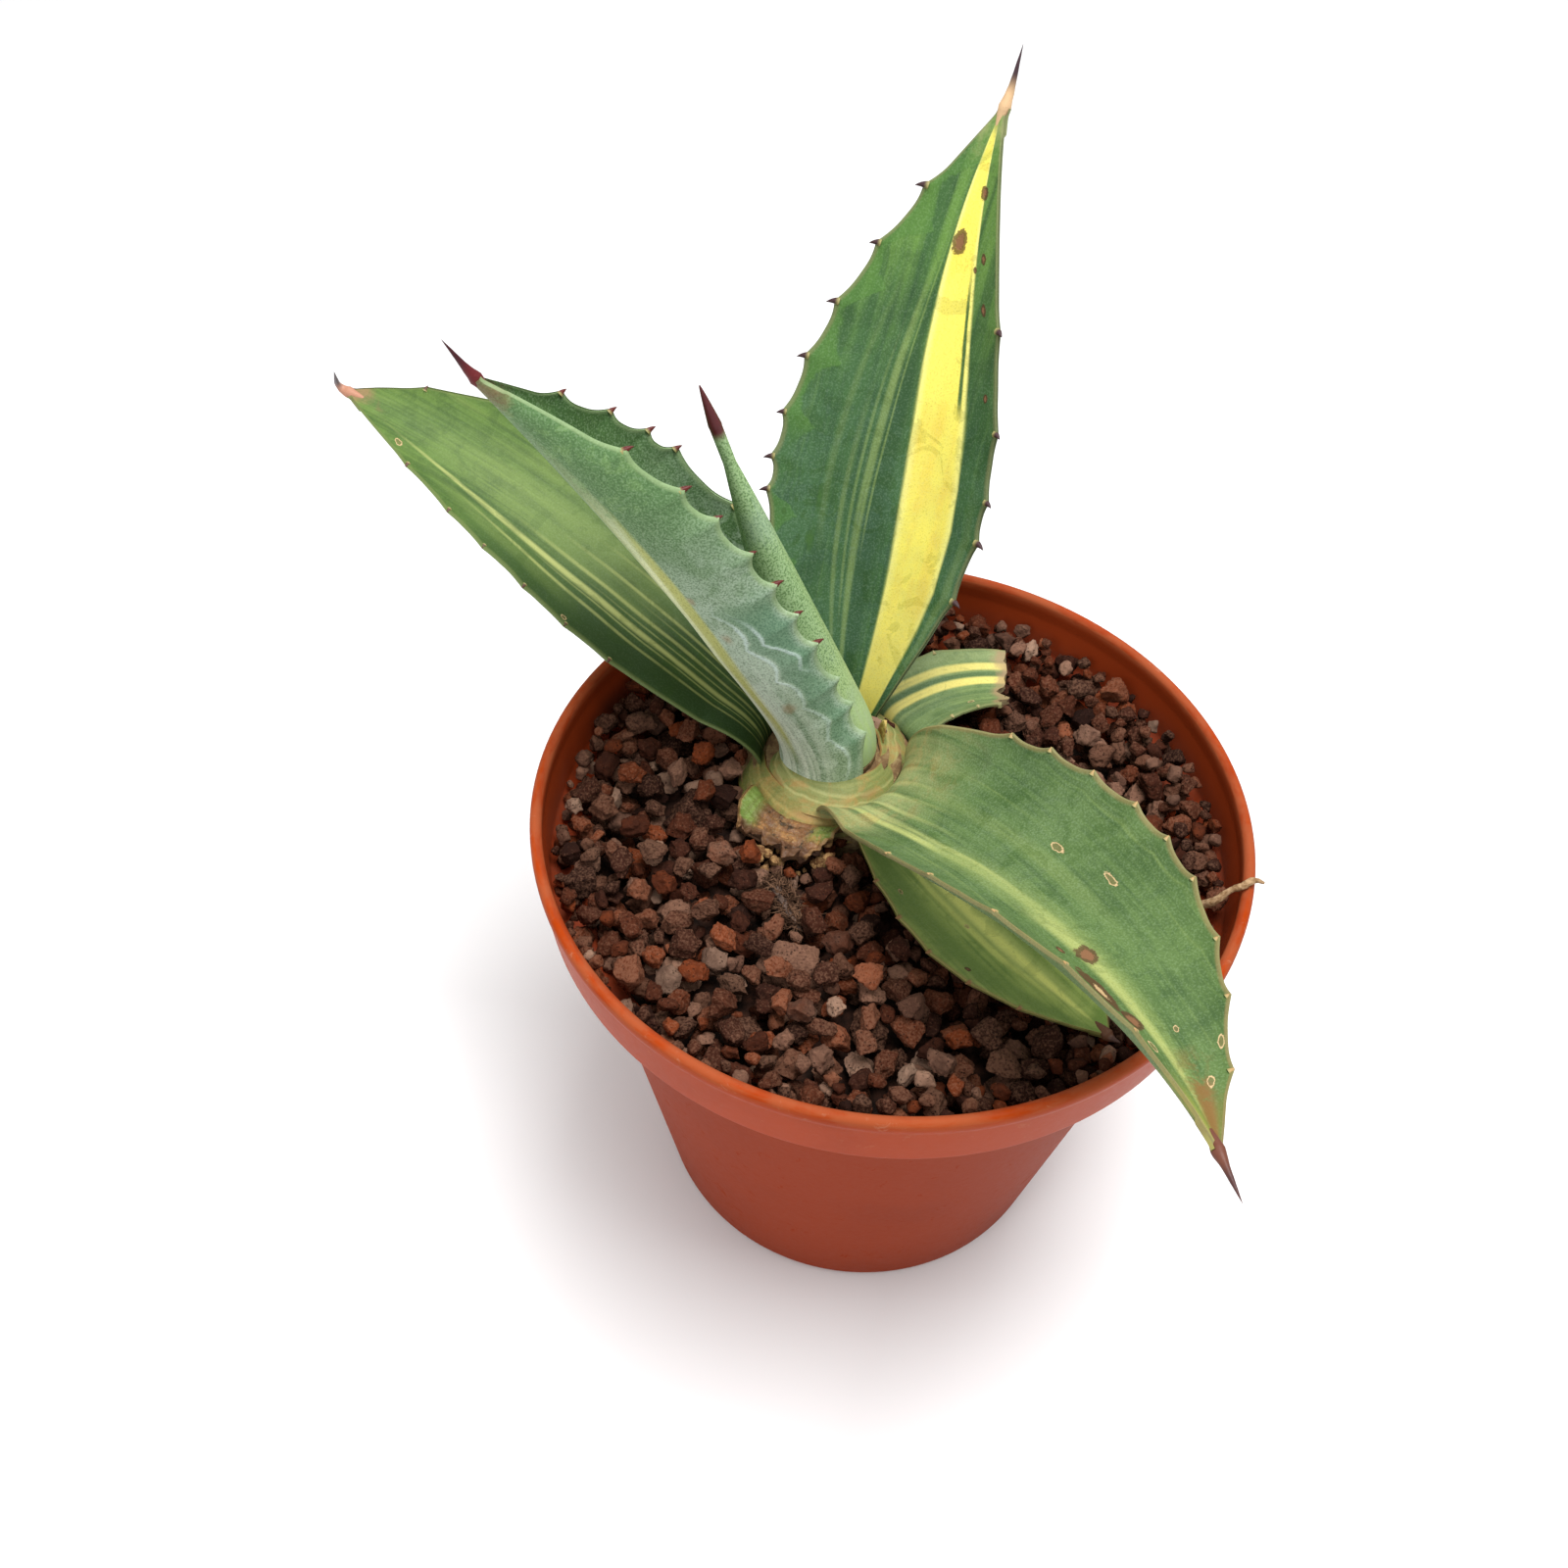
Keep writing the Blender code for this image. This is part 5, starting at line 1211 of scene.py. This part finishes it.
class StoneHeap:
    # many stones in one mesh
    def __init__(self):
        self.points, self.faces, self.tones, self.shades, self.total = [], [], [], [], 0

    def add(self, shape, size, turn, place, tone, shade):
        points, faces = shape
        grown = (points * np.array(size)) @ np.array(turn.to_3x3()).T + np.array(place)
        self.points.append(grown)
        self.faces.append(faces + self.total)
        self.tones.append(np.full(len(points), tone))
        self.shades.append(np.full(len(points), shade))
        self.total += len(points)
        return grown

    def piece(self, name, slotName, replaced=(), finish=None):
        points, faces = np.concatenate(self.points), np.concatenate(self.faces)
        mesh = bpy.data.meshes.new(name)
        mesh.vertices.add(len(points))
        mesh.vertices.foreach_set("co", points.astype(np.float32).ravel())
        mesh.loops.add(faces.size)
        mesh.loops.foreach_set("vertex_index", faces.astype(np.int32).ravel())
        mesh.polygons.add(len(faces))
        mesh.polygons.foreach_set("loop_start", np.arange(0, faces.size, 3, dtype=np.int32))
        mesh.update(calc_edges=True)
        mesh.materials.append(finish or stoneFinish)
        values = {"stoneTone": np.concatenate(self.tones),
                  "stoneShade": np.concatenate(self.shades)}
        return dressed(name, mesh, replaced, values, None)


# the bed as a height map, 0.5 mm a cell; the grit settles into it stone by stone
bed = dict(cell=0.5 * mm, half=64 * mm, floor=86.6 * mm, ledge=91.6 * mm, middle=55 * mm,
           crown=92.5 * mm, crownReach=18 * mm, reach=61.9 * mm, count=1500, small=1.05,
           large=2.9, tries=10, edging=300)
cells = int(2 * bed["half"] / bed["cell"])
axis = (np.arange(cells) + 0.5) * bed["cell"] - bed["half"]
gridX, gridY = np.meshgrid(axis, axis, indexing="ij")
radial = np.hypot(gridX, gridY)
heap = np.where(radial < bed["middle"], bed["floor"], bed["ledge"])
stemReach = np.hypot(gridX - stem.x, gridY - stem.y)
heap = np.where(stemReach < bed["crownReach"], bed["crown"], heap)
ceiling = np.full(heap.shape, 1.0)


def cellOf(x, y):
    return int((x + bed["half"]) / bed["cell"]), int((y + bed["half"]) / bed["cell"])


# nothing in the bed may rise into a low leaf
for piece in leafPieces.values():
    for vert in piece.data.vertices:
        if vert.co.z < 103 * mm:
            i, j = cellOf(vert.co.x, vert.co.y)
            window = ceiling[max(i - 1, 0):i + 2, max(j - 1, 0):j + 2]
            np.minimum(window, vert.co.z - 0.3 * mm, out=window)


def footprint(x, y, radius):
    i, j = cellOf(x, y)
    reach = int(radius / bed["cell"]) + 1
    window = (slice(max(i - reach, 0), i + reach + 1), slice(max(j - reach, 0), j + reach + 1))
    square = radius ** 2 - (gridX[window] - x) ** 2 - (gridY[window] - y) ** 2
    return window, np.sqrt(np.maximum(square, 0)), square > 0


def press(points):
    # raises the height map to the top of a placed stone
    for x, y, z in points:
        i, j = cellOf(x, y)
        window = heap[i - 1:i + 2, j - 1:j + 2]
        np.maximum(window, z, out=window)


fineShapes = [stoneShape(seed, 4) for seed in range(24)]
coarseShapes = [stoneShape(seed + 50, 3) for seed in range(20)]
bigTones = ("umber taupe pale pale pale rust taupe rust pale pale umber rust umber pale pale "
            "taupe rust umber pale umber rust taupe umber rust taupe umber").split()


def makeBigStones():
    for number, tone in enumerate(bigTones):
        node = "stone_%02d" % (number + 1)
        low, high = corners(node)
        middle, size = (low + high) / 2, (high - low) / 2
        dice = random.Random(700 + number)
        heapOne = StoneHeap()
        placed = heapOne.add(stoneShape(300 + number, 5), tuple(size * 0.99), Matrix.Identity(3),
                             middle - Vector((0, 0, 0.9 * mm)),
                             stoneLook[tone] + dice.uniform(-0.05, 0.05), dice.uniform(0.4, 1.0))
        heapOne.piece(node + "_rough", "stone_" + tone, [node])
        press(placed)


def gritTone(dice):
    # mostly dark lava, then rust, taupe and a few pale pumice grains
    draw = dice.random()
    for limit, low, high in ((0.66, 0.0, 0.52), (0.84, 0.50, 0.70), (0.92, 0.76, 0.88)):
        if draw < limit:
            return dice.uniform(low, high)
    return dice.uniform(0.86, 1.0)


def layStone(grit, dice, radius, nearest):
    # of a few random places the stone takes the lowest
    best = None
    for _ in range(bed["tries"]):
        turn = dice.uniform(0, 2 * math.pi)
        reach = math.sqrt(dice.uniform(nearest ** 2, 1))
        reach *= bed["reach"] - radius * 0.95
        x, y = reach * math.cos(turn), reach * math.sin(turn)
        window, dome, inside = footprint(x, y, radius)
        rest = (heap[window] + 0.66 * dome)[inside].max()
        if (rest + radius * 0.9 > ceiling[window][inside]).any():
            continue
        if best is None or rest + radius * 0.6 < best[0]:
            best = (rest + radius * 0.6, x, y, rest, window, dome, inside)
    if best is None:
        return
    _, x, y, rest, window, dome, inside = best
    turn = Matrix.Rotation(dice.uniform(0, 2 * math.pi), 3, "Z") @ Matrix.Rotation(
        dice.uniform(-0.7, 0.7), 3, "X")
    long = dice.uniform(1.0, 1.35) if radius < 2.4 * mm else dice.uniform(0.95, 1.15)
    if math.hypot(x, y) > 58 * mm:
        long = 0.95
    size = (radius * long, radius * dice.uniform(0.80, 1.0), radius * dice.uniform(0.70, 0.95))
    shapes = fineShapes if radius > 1.7 * mm else coarseShapes
    grit.add(shapes[dice.randrange(len(shapes))], size, turn, (x, y, rest), gritTone(dice),
             dice.random())
    heap[window] = np.maximum(heap[window], np.where(inside, rest + dome * 0.8, 0))


def makeGrit():
    dice = random.Random(4711)
    grit = StoneHeap()
    spread = bed["large"] - bed["small"]
    for _ in range(bed["count"]):
        layStone(grit, dice, (bed["small"] + spread * dice.random() ** 1.4) * mm, 0.0)
    # small grit fills the ring along the wall
    for _ in range(bed["edging"]):
        layStone(grit, dice, dice.uniform(0.9, 1.7) * mm, 0.86)
    grit.piece("grit_bed", "growing_mix")
    print("grit: mean top %.1f mm, at the wall %.1f mm" % (
        heap[radial < 50 * mm].mean() / mm,
        heap[(radial > 57 * mm) & (radial < 61 * mm)].mean() / mm))


def keepClear(node, margin):
    # the grit stays under a piece that lies on the bed
    low, high = corners(node)
    inside = (gridX > low.x - margin) & (gridX < high.x + margin)
    inside &= (gridY > low.y - margin) & (gridY < high.y + margin)
    ceiling[inside] = np.minimum(ceiling[inside], low.z + 0.9 * mm)


keepClear("dried_tuft", -1 * mm)
makeBigStones()
makeGrit()


# growing mix under the grit

def makeMix():
    paint = Paint("dark growing mix", {"Specular IOR Level": 0.15})
    spot = paint.place()
    lumps, crumbs = paint.cells(spot, 420), paint.noise(spot, 700, 5, 0.7)
    colour = paint.ramp(lumps + crumbs * 0.4, [
        (0.2, (0.075, 0.030, 0.018)), (0.6, (0.040, 0.018, 0.012)), (0.95, (0.012, 0.007, 0.005))])
    finish = paint.finish(colour, 0.9 + crumbs * 0.08, crumbs - lumps, 0.5 * mm, 1.0)
    low = pot["foot"] + pot["wall"] + 0.3 * mm
    profile = [(0.5 * mm, low), (24 * mm, low), (wallInside(low + 2 * mm) - 2.6 * mm, low),
               (wallInside(low + 2.1 * mm) - 0.6 * mm, low + 2.1 * mm)]
    profile += [(wallInside(height * mm) - 0.45 * mm, height * mm) for height in range(12, 88, 6)]
    profile += [(wallInside(88 * mm) - 0.45 * mm, 88.2 * mm)]
    profile += [(reach * mm, 88.4 * mm) for reach in range(53, 0, -2)]
    count = 120
    points = []
    for radius, height in profile:
        for index in range(count):
            turn = 2 * math.pi * index / count
            place = Vector((radius * math.cos(turn), radius * math.sin(turn), height))
            if height > 88.3 * mm:
                place.z += 0.9 * mm * noise.noise(place * 260)
            points.append(place)
    piece = meshPiece("mix_body", points, ringFaces(0, len(profile), count), finish,
                      ["growing_mix"], None, 60)
    tidyNormals(piece)


makeMix()


# stem and roots keep their CAD shape and get bark

def stemPaint():
    paint = Paint("fibrous stem", {"Specular IOR Level": 0.2})
    spot = paint.place()
    strand = paint.noise(spot, 500, 5, 0.7, 1.2)
    cloud = paint.noise(spot, 120, 3, 0.6)
    colour = paint.ramp(strand * 0.7 + cloud * 0.3, [
        (0.25, (0.045, 0.025, 0.014)), (0.5, (0.17, 0.10, 0.045)), (0.72, (0.36, 0.28, 0.13))])
    return paint.finish(colour, 0.8 + strand * 0.15, strand, 0.4 * mm, 0.8)


nodes["stem_with_roots"].data.materials.clear()
nodes["stem_with_roots"].data.materials.append(stemPaint())


# straw, fibre tuft, bract and the crumbs of the dead leaf

def tubePoints(path, radii, sides, seed=0, rough=0.0):
    points = []
    for index, place in enumerate(path):
        along = (path[min(index + 1, len(path) - 1)] - path[max(index - 1, 0)]).normalized()
        level = along.cross(Vector((0.13, 0.21, 1.0))).normalized()
        over = level.cross(along)
        for corner in range(sides):
            turn = 2 * math.pi * corner / sides
            wide = radii[index] * (1 + rough * noise.noise(Vector((turn, index * 0.6, seed))))
            points.append(place + (level * math.cos(turn) + over * math.sin(turn)) * wide)
    return points


def dryPaint(name, dark, pale, scale, twist):
    paint = Paint(name, {"Specular IOR Level": 0.05})
    spot = paint.place()
    strand = paint.noise(spot, scale, 5, 0.7, twist)
    colour = paint.mix(dark, pale, paint.smooth(strand, 0.35, 0.65))
    return paint.finish(colour, 0.72 + strand * 0.2, strand, 0.15 * mm, 0.7)


straw = dict(radius=0.75, bearing=-13, inside=13, outside=1.2, foot=91.9, top=106.2, steps=40,
             dark=(0.20, 0.11, 0.05), pale=(0.48, 0.32, 0.18))


def makeStraw():
    out, side = compass(straw["bearing"])
    low = pot["rim"] - straw["inside"] * mm
    path, radii = [], []
    for index in range(straw["steps"] + 1):
        share = index / straw["steps"]
        reach = low + (pot["rim"] + straw["outside"] * mm - low) * share
        climb = math.sin(math.pi / 2 * min(share * 1.12, 1.0))
        height = (straw["foot"] + (straw["top"] - straw["foot"]) * climb) * mm
        sway = 0.5 * mm * math.sin(share * 9) + 0.25 * mm * math.sin(share * 23)
        path.append(out * reach + side * (5 * mm * (share - 1) + sway) + Vector((0, 0, height)))
        wide = straw["radius"] * (0.75 + 0.35 * abs(math.sin(share * 5.2))) * (1 - 0.75 * share ** 6)
        radii.append(wide * mm)
    points = tubePoints(path, radii, 12, 3, 0.35)
    piece = meshPiece("dry_straw_stalk", points, ringFaces(0, straw["steps"] + 1, 12),
                      dryPaint("dry straw", straw["dark"], straw["pale"], 900, 0.5),
                      ["dry_straw"], None, 60)
    tidyNormals(piece)


tuft = dict(fibres=620, bearing=-64, joints=7, dark=(0.034, 0.017, 0.010),
            pale=(0.185, 0.100, 0.060), core=((0.035, 0.022, 0.018), (0.17, 0.115, 0.09)))


def makeTuft():
    low, high = corners("dried_tuft")
    middle = (low + high) / 2
    out, side = compass(tuft["bearing"])
    joints = tuft["joints"]
    dice = random.Random(99)
    points, faces = [], []
    for _ in range(tuft["fibres"]):
        start = middle + out * dice.uniform(-6.2, 6.2) * mm + side * dice.gauss(0, 1.0) * mm
        start.z = low.z + dice.uniform(1.6, 4.0) * mm
        heading = (out * dice.gauss(0, 0.7) + side * dice.gauss(0, 0.8)
                   + Vector((0, 0, dice.gauss(0.05, 0.35)))).normalized()
        curl = Vector([dice.gauss(0, 1) for _ in range(3)]) * 0.35
        length = dice.uniform(1.2, 3.2) * mm
        path = []
        place = start.copy()
        for step in range(joints):
            path.append(place.copy())
            heading = (heading + curl * 0.5).normalized()
            place = place + heading * length / (joints - 1)
            place.z = max(place.z, low.z)
            place.z = min(place.z, high.z + 1.5 * mm)
        radii = [dice.uniform(0.11, 0.21) * mm * (1 - 0.7 * step / (joints - 1))
                 for step in range(joints)]
        faces += ringFaces(len(points), joints, 5)
        points += tubePoints(path, radii, 5)
    # pale splinter standing out of it
    path = [middle + out * (1 + step * 1.1) * mm + Vector((0, 0, (2.2 - 0.25 * step) * mm))
            for step in range(6)]
    faces += ringFaces(len(points), 6, 6)
    points += tubePoints(path, [0.22 * mm] * 5 + [0.08 * mm], 6)
    piece = meshPiece("dried_tuft_fibres", points, faces,
                      dryPaint("dry fibre", tuft["dark"], tuft["pale"], 420, 0.3),
                      ["dried_tuft"], None, 60)
    tidyNormals(piece)
    core = StoneHeap()
    core.add(stoneShape(77, 5), (6.8 * mm, 2.0 * mm, 1.7 * mm),
             Matrix.Rotation(math.radians(tuft["bearing"]), 3, "Z"),
             middle + Vector((0, 0, 0.5 * mm)), 0.3, 0.2)
    core.piece("dried_tuft_core", "leaf_dead", (),
               dryPaint("packed fibre", *tuft["core"], 1500, 1.0))


bract = dict(bearing=20, half=1.5 * mm, rows=22, sides=20, dark=(0.30, 0.17, 0.05),
             pale=(0.62, 0.46, 0.16))


def makeBract():
    low, high = corners("bract")
    out, side = compass(bract["bearing"])
    middle = (low + high) / 2
    points = []
    rows = bract["rows"]
    for row in range(rows):
        share = row / (rows - 1)
        wide = bract["half"] * (1 - share ** 2.4) ** 0.6 + 0.1 * mm
        centre = Vector((middle.x, middle.y, low.z + (high.z - low.z) * share)) + out * (
            0.4 * mm * share ** 2)
        for corner in range(bract["sides"]):
            angle = 2 * math.pi * corner / bract["sides"]
            cup = 0.35 * mm * math.cos(angle) ** 2
            points.append(centre + side * wide * math.cos(angle)
                          + out * (0.3 * mm * math.sin(angle) - cup * (1 - share)))
    piece = meshPiece("bract_scale", points, ringFaces(0, rows, bract["sides"]),
                      dryPaint("bract", bract["dark"], bract["pale"], 700, 0.4),
                      ["bract"], None, 60)
    tidyNormals(piece)


crumbs = dict(count=46, shapes=6, small=0.5, large=1.35, dark=(0.11, 0.045, 0.02),
              pale=(0.40, 0.24, 0.10))


def makeCrumbs():
    # crumbled leaf scraps round the dead stub
    low, high = corners("leaf_stub_dead")
    dice = random.Random(31)
    scraps = StoneHeap()
    shapes = [stoneShape(400 + seed, 3) for seed in range(crumbs["shapes"])]
    for _ in range(crumbs["count"]):
        share = dice.random()
        place = (dice.uniform(low.x + 3 * mm, high.x - 2 * mm),
                 dice.uniform(low.y - 1 * mm, low.y + 6 * mm), 0)
        i, j = cellOf(place[0], place[1])
        height = min(heap[i, j] + 0.4 * mm + 2.4 * mm * share * share, 97 * mm)
        size = dice.uniform(crumbs["small"], crumbs["large"]) * mm
        scraps.add(shapes[dice.randrange(crumbs["shapes"])], (size, size * 0.8, size * 0.55),
                   Matrix.Rotation(dice.uniform(0, 6.28), 3, "Z"), (place[0], place[1], height),
                   dice.random(), dice.random())
    scraps.piece("dead_leaf_crumbs", "leaf_dead", (),
                 dryPaint("leaf crumbs", crumbs["dark"], crumbs["pale"], 900, 0.8))


makeStraw()
makeTuft()
makeBract()
makeCrumbs()
print("loose pieces: straw, tuft, bract, crumbs")


# floor, light and camera

lights = dict(world=0.60, boxes=[
    ("overhead softbox", (0.10, -0.02, 0.95), (0.55, 0.42), 9.5),
    ("front fill", (-0.55, -0.75, 0.65), (0.5, 0.5), 2.2)])


def makeStage():
    paint = Paint("pale floor", {"Specular IOR Level": 0.1})
    spot = paint.place()
    tone = paint.noise(spot, 6, 2, 0.5)
    colour = paint.mix((0.93, 0.93, 0.93), (0.90, 0.90, 0.905), tone)
    finish = paint.finish(colour, 0.75 + tone * 0.1)
    mesh = bpy.data.meshes.new("floor")
    mesh.from_pydata([(-3, -3, 0), (3, -3, 0), (3, 3, 0), (-3, 3, 0)], [], [(0, 1, 2, 3)])
    mesh.materials.append(finish)
    floor = bpy.data.objects.new("floor", mesh)
    scene.collection.objects.link(floor)
    world = bpy.data.worlds.new("studio")
    world.use_nodes = True
    world.node_tree.nodes["Background"].inputs[0].default_value = (1.0, 1.0, 1.0, 1.0)
    world.node_tree.nodes["Background"].inputs[1].default_value = lights["world"]
    scene.world = world
    for name, place, size, power in lights["boxes"]:
        lamp = bpy.data.lights.new(name, "AREA")
        lamp.shape = "RECTANGLE"
        lamp.size, lamp.size_y = size
        lamp.energy = power
        holder = bpy.data.objects.new(name, lamp)
        holder.location = place
        aim = Vector((0, 0, 0.09)) - Vector(place)
        holder.rotation_euler = aim.to_track_quat("-Z", "Y").to_euler()
        scene.collection.objects.link(holder)


view = dict(place=(-0.01974, -0.19358, 0.33435), down=49.32, tilt=2.77, lens=38.25, sensor=36.0)


def makeCamera():
    down, tilt = math.radians(view["down"]), math.radians(view["tilt"])
    back = Vector((0, -math.cos(down), math.sin(down)))
    right = Vector((1, 0, 0))
    up = Vector((0, math.sin(down), math.cos(down)))
    turnedRight = right * math.cos(tilt) + up * math.sin(tilt)
    turnedUp = up * math.cos(tilt) - right * math.sin(tilt)
    camera = bpy.data.cameras.new("camera")
    camera.lens, camera.sensor_width = view["lens"], view["sensor"]
    camera.clip_start = 0.01
    holder = bpy.data.objects.new("camera", camera)
    holder.matrix_world = Matrix.Translation(view["place"]) @ Matrix(
        (turnedRight, turnedUp, back)).transposed().to_4x4()
    scene.collection.objects.link(holder)
    scene.camera = holder


makeStage()
makeCamera()
scene.view_settings.view_transform = "Standard"
print("stage: floor, lights, camera")

bpy.context.view_layer.update()
